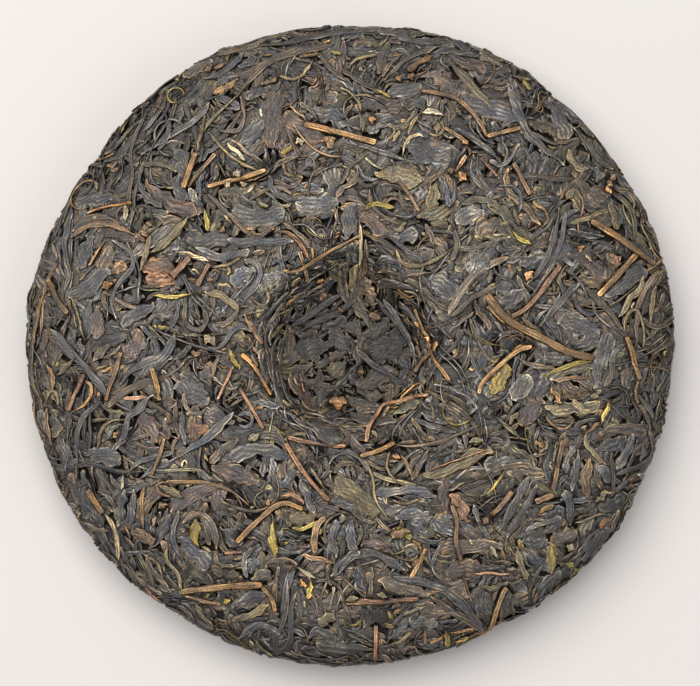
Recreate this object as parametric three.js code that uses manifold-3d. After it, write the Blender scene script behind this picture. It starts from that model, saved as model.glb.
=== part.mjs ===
// A pressed cake of tea: one round solid of steamed leaves, lying with its hollowed face up.
// The hollow is where the knot of the cloth bag sat while the cake was pressed. The other face
// is gently domed, with a flat spot in its middle that the cake rests on.
// A smaller core carries the largest leaves and stems, which are fused to it at their true size.
// Millimetres, +Z up. The origin is on the resting plane, on the cake's axis.

import * as THREE from "three";
import { mergeVertices } from "three/addons/utils/BufferGeometryUtils.js";
import Module from "manifold-3d";

// Driving dimensions of the whole cake.
const DIAMETER = 200;
const CROWN_HEIGHT = 25.5;
const EDGE_THICKNESS = 13;
const EDGE_ROUNDING = 10;
const SHOULDER_DROP = 6.5;
const REST_RADIUS = 34;

// The hollow of the knot, how far its middle sits from the cake's axis, and the heights over
// which what shapes the hollowed face comes in.
const HOLLOW_FLOOR_RADIUS = 17.5;
const HOLLOW_LIP_RADIUS = 28;
const HOLLOW_DEPTH = 13;
const HOLLOW_SHIFT = new THREE.Vector2(-0.8, -5.5);
const SHIFT_FADES = [22, 82];
const CROWN_RISES = [4.5, 11.5];
const KNOT_TAIL = { angle: 1.4, spread: 0.42, reach: 5, ring: 27, ringWidth: 10 };
const TAIL_CREASE = { angle: 1.36, spread: 0.1, depth: 2.6, ring: 40, ringWidth: 12 };

// The outline's own unevenness: a flattened stretch, a bulge and a slow wobble.
const OUTLINE_SWELLS = [
  { angle: 2.62, spread: 0.34, rise: -2.0 },
  { angle: 1.18, spread: 0.24, rise: 1.2 },
  { angle: 4.45, spread: 0.2, rise: 0.8 },
];
const WOBBLE = { waves: 7, rise: 0.35 };
const UNDULATION = { pitch: 19, rise: 0.55 };

// The core, and the pieces fused to it.
const CORE_INSET = 2.1;
const CORE_SIDES = 40;
const LEAF_COUNT = 150;
const LEAF_LENGTH = [38, 16];
const LEAF_WIDTH = [11, 4.6];
const LEAF_THICKNESS = 5.2;
const LEAF_LIFT = [-0.5, 0.3];
const LEAF_BEND = 1.5;
const LEAF_CROWDING = 0.75;
const LEAF_STRIDE = 37;
const LEAF_STEPS = 4;
const EDGE_WAVE = { rise: 0.22, turn: 2.4 };
const SIZE_FALL = 0.7;
const BROAD_FROM = 6;
const BROAD_SIDES = 6;
const NARROW_SIDES = 4;
const REST_LEAF = { length: 38, width: 14, lift: 0.2 };
const STEM = { width: 2.2, thickness: 5.8, lift: 0.7 };
const GOLDEN_ANGLE = Math.PI * (3 - Math.sqrt(5));
const SLIVER = 0.02;
const SEED = 357;

// The long stems that lie on the hollowed face: where each starts, its heading, length and bend.
const STEMS = [
  { x: -14, y: 69, heading: -0.24, length: 22, bend: 0 },
  { x: 22, y: 79, heading: -0.25, length: 26, bend: -0.9 },
  { x: 75, y: 39, heading: -0.6, length: 24, bend: -0.1 },
  { x: 90, y: 29, heading: -2.32, length: 18, bend: 0.1 },
  { x: 43, y: 15, heading: -0.68, length: 38, bend: 0.5 },
  { x: 65, y: 25, heading: -2.2, length: 22, bend: 0.3 },
  { x: 56, y: 0, heading: -2.5, length: 22, bend: 0.5 },
  { x: -52, y: -76, heading: 0.1, length: 25, bend: 0 },
  { x: -35, y: -61, heading: 0.72, length: 22, bend: -0.6 },
  { x: -20, y: -30, heading: -0.95, length: 22, bend: 0.1 },
  { x: -1, y: -80, heading: 0.05, length: 22, bend: 0.1 },
];

const RADIUS = DIAMETER / 2;
const EDGE_RADIUS = RADIUS - EDGE_ROUNDING;
const SHOULDER_HEIGHT = CROWN_HEIGHT - SHOULDER_DROP;
const BELLY_HEIGHT = SHOULDER_HEIGHT - EDGE_THICKNESS;
const EDGE_MIDDLE = (SHOULDER_HEIGHT + BELLY_HEIGHT) / 2;

// A seeded random number from 0 to 1.
function seededRandom(seed) {
  let state = seed;
  return () => {
    state = (state + 0x6d2b79f5) | 0;
    let mixed = Math.imul(state ^ (state >>> 15), 1 | state);
    mixed = (mixed + Math.imul(mixed ^ (mixed >>> 7), 61 | mixed)) ^ mixed;
    return ((mixed ^ (mixed >>> 14)) >>> 0) / 2 ** 32;
  };
}

const random = seededRandom(SEED);
const between = ([low, high], share = random()) => low + (high - low) * share;
const bump = (distance, width) => Math.exp(-((distance / width) ** 2));

// The shorter way round from one angle to another.
function angleBetween(a, b) {
  return Math.atan2(Math.sin(a - b), Math.cos(a - b));
}

// Height of the hollowed face at a distance from the axis.
function crownHeight(radius) {
  const hollow = 1 - THREE.MathUtils.smoothstep(radius, HOLLOW_FLOOR_RADIUS, HOLLOW_LIP_RADIUS);
  return CROWN_HEIGHT - SHOULDER_DROP * (radius / EDGE_RADIUS) ** 3 - HOLLOW_DEPTH * hollow;
}

// Height of the domed face at a distance from the axis.
function bellyHeight(radius) {
  const rise = Math.max(0, (radius - REST_RADIUS) / (EDGE_RADIUS - REST_RADIUS));
  return BELLY_HEIGHT * rise ** 2;
}

// The cake's half section, from the middle of the belly, round the edge, to the hollow's floor.
function halfSection() {
  const belly = [0, 20, REST_RADIUS, 50, 64, 78].map((r) => new THREE.Vector2(r, bellyHeight(r)));
  const edge = [-90, -55, -25, 0, 25, 55, 90].map((degrees) => {
    const turn = THREE.MathUtils.degToRad(degrees);
    return new THREE.Vector2(
      EDGE_RADIUS + EDGE_ROUNDING * Math.cos(turn),
      EDGE_MIDDLE + (EDGE_THICKNESS / 2) * Math.sin(turn),
    );
  });
  const crown = [78, 64, 50, 38, HOLLOW_LIP_RADIUS, 25.5, 22.5, 20, HOLLOW_FLOOR_RADIUS, 0].map(
    (r) => new THREE.Vector2(r, crownHeight(r)),
  );
  return [...belly, ...edge, ...crown];
}

const SECTION = halfSection();

// Outward normal of one straight stretch of the section.
function stretchNormal(index) {
  const along = SECTION[index + 1].clone().sub(SECTION[index]);
  return new THREE.Vector2(along.y, -along.x).normalize();
}

// Area of the surface that each stretch of the section sweeps, added up from the belly's middle.
function areaSoFar() {
  const sums = [0];
  for (let i = 0; i + 1 < SECTION.length; i += 1) {
    const width = SECTION[i].x + SECTION[i + 1].x;
    sums.push(sums[i] + Math.PI * width * SECTION[i].distanceTo(SECTION[i + 1]));
  }
  return sums;
}

// The point on the section that has a given share of the whole surface before it.
function sectionAtArea(share, sums) {
  const wanted = share * sums.at(-1);
  const i = Math.min(SECTION.length - 2, sums.findIndex((sum) => sum > wanted) - 1);
  const part = (wanted - sums[i]) / (sums[i + 1] - sums[i]);
  return SECTION[i].clone().lerp(SECTION[i + 1], part);
}

// The nearest point of the smooth surface of revolution, and the way out of the cake there.
function settle(point) {
  const flat = new THREE.Vector2(Math.hypot(point.x, point.y), point.z);
  let best = { distance: Infinity };
  for (let i = 0; i + 1 < SECTION.length; i += 1) {
    const along = SECTION[i + 1].clone().sub(SECTION[i]);
    const share = flat.clone().sub(SECTION[i]).dot(along) / along.lengthSq();
    const near = SECTION[i].clone().addScaledVector(along, THREE.MathUtils.clamp(share, 0, 1));
    const distance = near.distanceTo(flat);
    if (distance < best.distance) best = { distance, near, out: stretchNormal(i) };
  }
  const turn = Math.atan2(point.y, point.x);
  const spin = (v) => new THREE.Vector3(v.x * Math.cos(turn), v.x * Math.sin(turn), v.y);
  return { at: spin(best.near), out: spin(best.out) };
}

// Moves a point of the smooth, round cake to its place on the uneven real one.
function unevened(point) {
  const turn = Math.atan2(point.y, point.x);
  const reach = Math.hypot(point.x, point.y);
  const onCrown = THREE.MathUtils.smoothstep(point.z, ...CROWN_RISES);
  const outside = THREE.MathUtils.smoothstep(reach, RADIUS / 2, RADIUS);
  const swell = OUTLINE_SWELLS.reduce(
    (sum, s) => sum + s.rise * bump(angleBetween(turn, s.angle), s.spread),
    WOBBLE.rise * Math.sin(WOBBLE.waves * turn),
  );
  const { angle, spread, reach: pull, ring, ringWidth } = KNOT_TAIL;
  const tail = pull * bump(angleBetween(turn, angle), spread) * bump(reach - ring, ringWidth);
  const stretch = swell * outside + tail * onCrown;
  const shift = onCrown * (1 - THREE.MathUtils.smoothstep(reach, ...SHIFT_FADES));
  const crease =
    TAIL_CREASE.depth *
    bump(angleBetween(turn, TAIL_CREASE.angle), TAIL_CREASE.spread) *
    bump(reach - TAIL_CREASE.ring, TAIL_CREASE.ringWidth);
  const wave =
    UNDULATION.rise *
    Math.sin(point.x / UNDULATION.pitch + 1) *
    Math.cos(point.y / UNDULATION.pitch);
  return new THREE.Vector3(
    point.x + stretch * Math.cos(turn) + shift * HOLLOW_SHIFT.x,
    point.y + stretch * Math.sin(turn) + shift * HOLLOW_SHIFT.y,
    Math.max(0, point.z + onCrown * (wave - crease)),
  );
}

// A closed geometry as a solid, with only its positions kept and its shared vertices merged.
function solidFrom(wasm, geometry) {
  const bare = geometry.clone();
  bare.deleteAttribute("normal");
  bare.deleteAttribute("uv");
  const merged = mergeVertices(bare, 1e-4);
  return new wasm.Manifold(
    new wasm.Mesh({
      numProp: 3,
      vertProperties: merged.attributes.position.array,
      triVerts: new Uint32Array(merged.index.array),
    }),
  );
}

// Moves every vertex of a geometry by a rule.
function reshaped(geometry, rule) {
  const places = geometry.attributes.position;
  for (let i = 0; i < places.count; i += 1) {
    const moved = rule(new THREE.Vector3().fromBufferAttribute(places, i), i);
    places.setXYZ(i, moved.x, moved.y, moved.z);
  }
  return geometry;
}

// The core: the cake's section drawn in by the inset, turned round the axis.
function coreGeometry() {
  const inner = SECTION.map((point, i) => {
    const before = stretchNormal(Math.max(0, i - 1));
    const after = stretchNormal(Math.min(SECTION.length - 2, i));
    const out = before.add(after).normalize();
    return new THREE.Vector2(point.x - CORE_INSET * out.x, point.y - CORE_INSET * out.y);
  });
  inner[0].x = 0;
  inner.at(-1).x = 0;
  const lathe = new THREE.LatheGeometry(inner, CORE_SIDES);
  lathe.rotateX(Math.PI / 2);
  return reshaped(lathe, unevened);
}

// Walks over the surface from a start, turning evenly by the bend, and notes each step's frame.
function walk(start, heading, length, bend, steps) {
  const frames = [];
  let { at, out } = settle(start);
  const side = new THREE.Vector3(-Math.sin(heading), Math.cos(heading), 0);
  let along = new THREE.Vector3().crossVectors(side, out).normalize();
  for (let i = 0; i <= steps; i += 1) {
    frames.push({ at, out, side: new THREE.Vector3().crossVectors(out, along).normalize() });
    along = along.clone().applyAxisAngle(out, bend / steps);
    const next = settle(at.clone().addScaledVector(along, length / steps));
    along = next.at.clone().sub(at).projectOnPlane(next.out).normalize();
    at = next.at;
    out = next.out;
  }
  return frames;
}

// A pressed leaf or stem: a sphere of few sides, drawn out along its walk over the surface.
// A broad piece's outer face is flat across, and a narrow one's is folded along its middle.
// The ends taper, and the edges wave in and out.
function pieceGeometry({ start, heading, length, width, thickness, lift, bend, phase }) {
  const frames = walk(start, heading, length, bend, LEAF_STEPS);
  const sides = width > BROAD_FROM ? BROAD_SIDES : NARROW_SIDES;
  const highest = Math.sin(Math.floor(sides / 4) * ((2 * Math.PI) / sides));
  const geometry = new THREE.SphereGeometry(1, sides, LEAF_STEPS);
  const uv = geometry.attributes.uv;
  return reshaped(geometry, (_, i) => {
    const step = Math.round((1 - uv.getY(i)) * LEAF_STEPS);
    const tip = step === 0 || step === LEAF_STEPS;
    const round = -uv.getX(i) * 2 * Math.PI;
    const { at, side } = frames[step];
    const wave = 1 + EDGE_WAVE.rise * Math.sin(phase + EDGE_WAVE.turn * step);
    const across = tip ? 0 : (width / 2) * wave * Math.cos(round);
    const depth = tip ? 0.5 : (1 - Math.sin(round) / highest) / 2;
    const seat = settle(at.clone().addScaledVector(side, across));
    return unevened(seat.at.addScaledVector(seat.out, lift - thickness * depth));
  });
}

// The leaves: the largest first, spread evenly over the whole surface by the golden angle.
function leafSpecs() {
  const sums = areaSoFar();
  const specs = [];
  for (let i = 0; i < LEAF_COUNT; i += 1) {
    const seat = (i * LEAF_STRIDE) % LEAF_COUNT;
    const place = sectionAtArea(((seat + 0.5) / LEAF_COUNT) ** LEAF_CROWDING, sums);
    const turn = seat * GOLDEN_ANGLE;
    const size = (i / LEAF_COUNT) ** SIZE_FALL;
    specs.push({
      start: new THREE.Vector3(place.x * Math.cos(turn), place.x * Math.sin(turn), place.y),
      heading: 2 * Math.PI * random(),
      length: between(LEAF_LENGTH, size),
      width: between(LEAF_WIDTH, size) * between([0.75, 1.2]),
      thickness: LEAF_THICKNESS,
      lift: between(LEAF_LIFT),
      bend: LEAF_BEND * between([-1, 1]),
      phase: 2 * Math.PI * random(),
    });
  }
  return specs;
}

// The broad leaf in the middle of the belly, whose flat outer face the cake rests on.
// On the underside a heading of 0 runs towards -X.
function restLeafSpec() {
  return {
    start: new THREE.Vector3(REST_LEAF.length / 2, 0, 0),
    heading: 0,
    length: REST_LEAF.length,
    width: REST_LEAF.width,
    thickness: LEAF_THICKNESS,
    lift: REST_LEAF.lift,
    bend: 0,
    phase: 0,
  };
}

// The stems named above, lying on the hollowed face.
function stemSpecs() {
  return STEMS.map(({ x, y, heading, length, bend }) => ({
    start: new THREE.Vector3(x, y, crownHeight(Math.hypot(x, y))),
    heading,
    length,
    ...STEM,
    bend,
    phase: 0,
  }));
}

// Everything fused into one body, without slivers too thin to see.
// Hollows that fusing seals are filled, and loose scraps are dropped.
function fused(wasm) {
  const solids = [restLeafSpec(), ...leafSpecs(), ...stemSpecs()].map((spec) =>
    solidFrom(wasm, pieceGeometry(spec)),
  );
  const whole = wasm.Manifold.union([solidFrom(wasm, coreGeometry()), ...solids]);
  const bodies = whole.simplify(SLIVER).decompose();
  return bodies.reduce((largest, body) => (body.volume() > largest.volume() ? body : largest));
}

// A solid's own vertices and triangles as a geometry.
function geometryFrom(solid) {
  const { numProp, vertProperties, triVerts } = solid.getMesh();
  const places = new Float32Array((vertProperties.length / numProp) * 3);
  for (let i = 0; i * numProp < vertProperties.length; i += 1) {
    places.set(vertProperties.subarray(i * numProp, i * numProp + 3), i * 3);
  }
  const geometry = new THREE.BufferGeometry();
  geometry.setAttribute("position", new THREE.BufferAttribute(places, 3));
  geometry.setIndex(new THREE.BufferAttribute(triVerts, 1));
  geometry.computeVertexNormals();
  return geometry;
}

const wasm = await Module();
wasm.setup();

const pressedLeaf = new THREE.MeshStandardMaterial({
  color: 0x4a423b,
  roughness: 0.62,
  metalness: 0,
});
const cake = new THREE.Mesh(geometryFrom(fused(wasm)), pressedLeaf);
cake.name = "tea_cake";

const group = new THREE.Group();
group.add(cake);
export default group;
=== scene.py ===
"""A pressed cake of dark tea, laid leaf by leaf against the inside of its mould.

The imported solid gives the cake's place and size. Leaves, stems and crumbs are laid from the
mould's wall inwards: the first lie flush with it, and each later one dips under those that
are already there, as pressed leaves do. Lengths here are millimetres until a mesh is made.
"""

import bpy
import numpy as np
from bpy.props import FloatProperty, FloatVectorProperty, IntProperty, PointerProperty
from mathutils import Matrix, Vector


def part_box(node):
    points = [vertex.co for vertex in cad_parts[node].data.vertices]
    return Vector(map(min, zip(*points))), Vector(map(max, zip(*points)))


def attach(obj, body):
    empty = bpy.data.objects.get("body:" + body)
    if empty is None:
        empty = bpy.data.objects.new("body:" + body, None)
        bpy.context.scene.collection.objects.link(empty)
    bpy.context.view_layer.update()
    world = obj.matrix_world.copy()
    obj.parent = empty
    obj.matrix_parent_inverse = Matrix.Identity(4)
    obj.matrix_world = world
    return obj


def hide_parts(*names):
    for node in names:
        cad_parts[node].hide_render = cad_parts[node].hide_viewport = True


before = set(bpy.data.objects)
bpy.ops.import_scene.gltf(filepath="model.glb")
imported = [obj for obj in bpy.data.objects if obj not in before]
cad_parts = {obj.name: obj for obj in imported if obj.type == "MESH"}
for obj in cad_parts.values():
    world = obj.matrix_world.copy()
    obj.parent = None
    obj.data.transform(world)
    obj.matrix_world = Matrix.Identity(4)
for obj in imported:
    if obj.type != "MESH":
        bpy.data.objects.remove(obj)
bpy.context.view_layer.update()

bl_info = {
    "name": "Pressed tea cake",
    "version": (1, 0, 0),
    "blender": (4, 5, 0),
    "location": "View3D > Sidebar > Tea cake",
    "description": "Builds a pressed cake of dark tea leaf by leaf",
    "category": "Add Mesh",
}

MM = 0.001
LOW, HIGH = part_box("tea_cake")

# The mould: the cake's half section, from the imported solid's box and the press's own form.
RADIUS = (HIGH.x - LOW.x + HIGH.y - LOW.y) / 4 / MM
ROOM_ABOVE = 0.2
CROWN = (HIGH.z - LOW.z) / MM - ROOM_ABOVE
EDGE_ROUNDING = 10
EDGE_THICKNESS = 13
SHOULDER_DROP = 6.5
REST_RADIUS = 34
HOLLOW_FLOOR = 17.5
HOLLOW_LIP = 28
HOLLOW_DEPTH = 13
EDGE_RADIUS = RADIUS - EDGE_ROUNDING
SHOULDER = CROWN - SHOULDER_DROP
BELLY = SHOULDER - EDGE_THICKNESS
EDGE_MIDDLE = (SHOULDER + BELLY) / 2
SOFTNESS = 1.6

# What makes the round cake uneven. An angle is counter-clockwise from +X.
HOLLOW_SHIFT = (-0.8, -5.5)
SHIFT_FADES = (22, 82)
CROWN_RISES = (4.5, 11.5)
KNOT_TAIL = {"angle": 1.4, "spread": 0.42, "reach": 5, "ring": 27, "width": 10}
TAIL_CREASE = {"angle": 1.36, "spread": 0.1, "depth": 2.6, "ring": 40, "width": 12}
OUTLINE_SWELLS = ((2.62, 0.34, -2.0), (1.18, 0.24, 1.2), (4.45, 0.2, 0.8))
WOBBLES = ((7, 0.35, 0.0), (19, 0.16, 0.7), (31, 0.15, 2.1), (53, 0.12, 4.0))
UNDULATION_PITCH = 19
UNDULATION_RISE = 0.55

# The view: the photograph's frame in pixels, and a camera that nearly looks straight down.
PHOTO_WIDTH = 700
PHOTO_HEIGHT = 686
VIEW_ELEVATION = 80
VIEW_DISTANCE = 620
VIEW_SPAN = 214.0
SENSOR = 36
AIM = np.array([0.0, -2.4, 14.0])

# The steps of the section, of the table of its nearest arcs and of the maps of what is laid,
# and how far that table goes on beyond the edge, below the cake and above it.
ARC_STEP = 0.25
TABLE_STEP = 0.5
CELL = 0.5
TABLE_BEYOND = 14
TABLE_BELOW = 10
TABLE_ABOVE = 12


def smooth(value, low, high):
    """Rises from 0 at low to 1 at high along 3t^2 - 2t^3."""
    t = np.clip((value - low) / (high - low), 0, 1)
    return t * t * (3 - 2 * t)


def bump(distance, width):
    """A bell of height 1: e to the minus square of distance over width."""
    return np.exp(-((distance / width) ** 2))


def unit(vectors):
    """Each vector over its own length."""
    return vectors / np.maximum(np.linalg.norm(vectors, axis=-1, keepdims=True), 1e-9)


def linear(red, green, blue):
    """A colour given in display values from 0 to 255, as scene-linear values."""
    value = np.array([red, green, blue]) / 255
    return np.where(value <= 0.04045, value / 12.92, ((value + 0.055) / 1.055) ** 2.4)


def crown_height(reach):
    """The hollowed face: a cubic fall to the shoulder, less a smooth step round the hollow."""
    hollow = 1 - smooth(reach, HOLLOW_FLOOR, HOLLOW_LIP)
    return CROWN - SHOULDER_DROP * (reach / EDGE_RADIUS) ** 3 - HOLLOW_DEPTH * hollow


def belly_height(reach):
    """The domed face: flat to the resting radius, then a square rise to the edge."""
    rise = np.clip((reach - REST_RADIUS) / (EDGE_RADIUS - REST_RADIUS), 0, None)
    return BELLY * rise**2


def half_section():
    """The section from the belly's middle round the edge to the hollow's floor.

    Belly curve, half ellipse and crown curve are joined, softened by a short bell along their
    length, and given back at even steps as rows of reach, height, outward reach, outward height.
    """
    belly = np.linspace(0, EDGE_RADIUS, 361)[:-1]
    turn = np.radians(np.linspace(-90, 90, 121))
    crown = np.linspace(EDGE_RADIUS, 0, 721)[1:]
    reach = np.concatenate([belly, EDGE_RADIUS + EDGE_ROUNDING * np.cos(turn), crown])
    edge = EDGE_MIDDLE + EDGE_THICKNESS / 2 * np.sin(turn)
    height = np.concatenate([belly_height(belly), edge, crown_height(crown)])
    arc = np.concatenate([[0], np.cumsum(np.hypot(np.diff(reach), np.diff(height)))])
    even = np.arange(0, arc[-1], ARC_STEP)
    reach = np.interp(even, arc, reach)
    height = np.interp(even, arc, height)
    pad = 12
    bell = bump(np.arange(-pad, pad + 1) * ARC_STEP, SOFTNESS)
    bell /= bell.sum()
    reach = np.concatenate([-reach[pad:0:-1], reach, -reach[-2 : -pad - 2 : -1]])
    height = np.concatenate([height[pad:0:-1], height, height[-2 : -pad - 2 : -1]])
    reach = np.abs(np.convolve(reach, bell, "valid"))
    height = np.convolve(height, bell, "valid")
    out = unit(np.stack([np.gradient(height), -np.gradient(reach)], -1))
    out[[0, -1]] = [[0, -1], [0, 1]]
    return np.stack([reach, height, out[:, 0], out[:, 1]])


SECTION = half_section()
WIDEST = np.argmax(SECTION[0])
ARCS = np.arange(SECTION.shape[1]) * ARC_STEP
ARC_END = ARCS[-1]
ARC_EDGE = ARCS[WIDEST]
CROWN_REACHES, CROWN_HEIGHTS = SECTION[:2, WIDEST:][:, ::-1]


def section_at(arc):
    """Reach, height, outward reach and outward height of the section at these arcs."""
    return [np.interp(arc, ARCS, row) for row in SECTION]


def turned(side, reach, height):
    """Reaches and heights of the half plane as vectors, on that side of the axis."""
    return np.concatenate([side * reach[..., None], height[..., None]], -1)


def nearest_arcs():
    """For a grid over the half plane, how far along the section its nearest point lies."""
    reaches = np.arange(0, RADIUS + TABLE_BEYOND, TABLE_STEP)
    heights = np.arange(-TABLE_BELOW, CROWN + TABLE_ABOVE, TABLE_STEP)
    table = np.empty((len(reaches), len(heights)))
    for i, reach in enumerate(reaches):
        gap = (SECTION[0] - reach) ** 2 + (SECTION[1] - heights[:, None]) ** 2
        table[i] = ARCS[np.argmin(gap, axis=1)]
    return table


NEAREST = nearest_arcs()


def settle(points):
    """Each point's nearest point on the smooth cake, the way out there and its arc.

    The arc is read from the table between its four nearest entries and moved by how far the
    point lies along the section from there. The section is read at that arc and turned to the
    point's own side of the axis.
    """
    reach = np.hypot(points[..., 0], points[..., 1])
    column = np.clip(reach / TABLE_STEP, 0, NEAREST.shape[0] - 1.001)
    row = np.clip((points[..., 2] + TABLE_BELOW) / TABLE_STEP, 0, NEAREST.shape[1] - 1.001)
    i, j = column.astype(int), row.astype(int)
    u, v = column - i, row - j
    near = NEAREST[i, j] * (1 - v) + NEAREST[i, j + 1] * v
    far = NEAREST[i + 1, j] * (1 - v) + NEAREST[i + 1, j + 1] * v
    arc = near * (1 - u) + far * u
    at_reach, at_height, out_reach, out_height = section_at(arc)
    missed = (points[..., 2] - at_height) * out_reach - (reach - at_reach) * out_height
    arc = np.clip(arc + missed, 0, ARC_END)
    at_reach, at_height, out_reach, out_height = section_at(arc)
    side = points[..., :2] / np.maximum(reach, 1e-6)[..., None]
    return turned(side, at_reach, at_height), turned(side, out_reach, out_height), arc


def unevened(points):
    """Moves points of the smooth, round cake to their place on the uneven real one.

    The outline swells and wobbles, the hollow is pushed off the axis and drawn out to a tail
    with a crease, and the hollowed face rises and falls in one long wave each way.
    """
    x, y, z = points[..., 0], points[..., 1], points[..., 2]
    turn = np.arctan2(y, x)
    reach = np.hypot(x, y)
    on_crown = smooth(z, *CROWN_RISES)

    def round_from(angle):
        return np.arctan2(np.sin(turn - angle), np.cos(turn - angle))

    swell = sum(rise * np.sin(waves * turn + phase) for waves, rise, phase in WOBBLES)
    for angle, spread, rise in OUTLINE_SWELLS:
        swell = swell + rise * bump(round_from(angle), spread)
    tail = bump(round_from(KNOT_TAIL["angle"]), KNOT_TAIL["spread"])
    tail = KNOT_TAIL["reach"] * tail * bump(reach - KNOT_TAIL["ring"], KNOT_TAIL["width"])
    stretch = swell * smooth(reach, RADIUS / 2, RADIUS) + tail * on_crown
    shift = on_crown * (1 - smooth(reach, *SHIFT_FADES))
    crease = bump(round_from(TAIL_CREASE["angle"]), TAIL_CREASE["spread"])
    crease = TAIL_CREASE["depth"] * crease * bump(reach - TAIL_CREASE["ring"], TAIL_CREASE["width"])
    wave = np.sin(x / UNDULATION_PITCH + 1) * np.cos(y / UNDULATION_PITCH)
    moved = [
        x + stretch * np.cos(turn) + shift * HOLLOW_SHIFT[0],
        y + stretch * np.sin(turn) + shift * HOLLOW_SHIFT[1],
        np.maximum(0, z + on_crown * (UNDULATION_RISE * wave - crease)),
    ]
    return np.stack(moved, -1)


def camera_frame():
    """The camera's place, and its ways forward, right and up."""
    tilt = np.radians(VIEW_ELEVATION)
    place = AIM + VIEW_DISTANCE * np.array([0, -np.cos(tilt), np.sin(tilt)])
    forward = unit(AIM - place)
    right = np.array([1.0, 0.0, 0.0])
    return place, forward, right, np.cross(right, forward)


def from_photo(pixels):
    """Points of the smooth crown whose uneven places show at these pixels of the photograph.

    Each pixel's ray is met with the plane at the point's present height, and the point is
    moved by what it still misses. Six rounds bring it within a hundredth of a millimetre.
    """
    place, forward, right, up = camera_frame()
    pixels = np.array(pixels, float)
    scale = VIEW_SPAN / VIEW_DISTANCE / PHOTO_WIDTH
    ray = forward + right * ((pixels[:, :1] - PHOTO_WIDTH / 2) * scale)
    ray = ray + up * ((PHOTO_HEIGHT / 2 - pixels[:, 1:]) * scale)
    guess = np.zeros((len(pixels), 3))
    guess[:, 2] = CROWN
    for _ in range(6):
        shown = unevened(guess)
        met = place + ray * ((shown[:, 2:] - place[2]) / ray[:, 2:])
        guess[:, :2] += (met - shown)[:, :2]
        reach = np.minimum(np.hypot(guess[:, 0], guess[:, 1]), RADIUS - 0.5)
        guess[:, 2] = np.interp(reach, CROWN_REACHES, CROWN_HEIGHTS)
    return guess


def walk(at, along, step, turns):
    """Walks over the smooth cake by even steps, turning at each by its own angle.

    Every step goes straight on in the tangent plane and is settled back on the cake, where
    the way along is laid into the new tangent plane.
    """
    at, out, _ = settle(at)
    along = unit(along - out * (along * out).sum(-1, keepdims=True))
    places, ways_out, ways_along = [at], [out], [along]
    for turn in turns.T:
        spin = turn[:, None]
        along = along * np.cos(spin) + np.cross(out, along) * np.sin(spin)
        at, out, _ = settle(at + along * step[:, None])
        along = unit(along - out * (along * out).sum(-1, keepdims=True))
        places.append(at)
        ways_out.append(out)
        ways_along.append(along)
    return np.stack(places, 1), np.stack(ways_out, 1), np.stack(ways_along, 1)


def walk_both_ways(middle, along, length, turns):
    """A path through its own middle: one walk ahead and one back, joined."""
    steps = turns.shape[1]
    half = steps // 2
    step = length / steps
    ahead = walk(middle, along, step, turns[:, half:])
    back = walk(middle, -along, step, -turns[:, :half][:, ::-1])
    signs = (1, 1, -1)
    return [
        np.concatenate([sign * b[:, :0:-1], a], 1) for a, b, sign in zip(ahead, back, signs)
    ]


def wander(rng, count, share, waves=(1, 2, 3, 5)):
    """A smooth random line over the share of a piece's length, mostly within -1 to 1.

    It is a sum of sines with random phases, each weaker than the longer ones before it.
    """
    total = np.zeros((count, len(share)))
    for wave in waves:
        size = rng.normal(0, 0.6 / wave**0.5, (count, 1))
        phase = rng.uniform(0, 2 * np.pi, (count, 1))
        total += size * np.sin(2 * np.pi * wave * share + phase)
    return total


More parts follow.
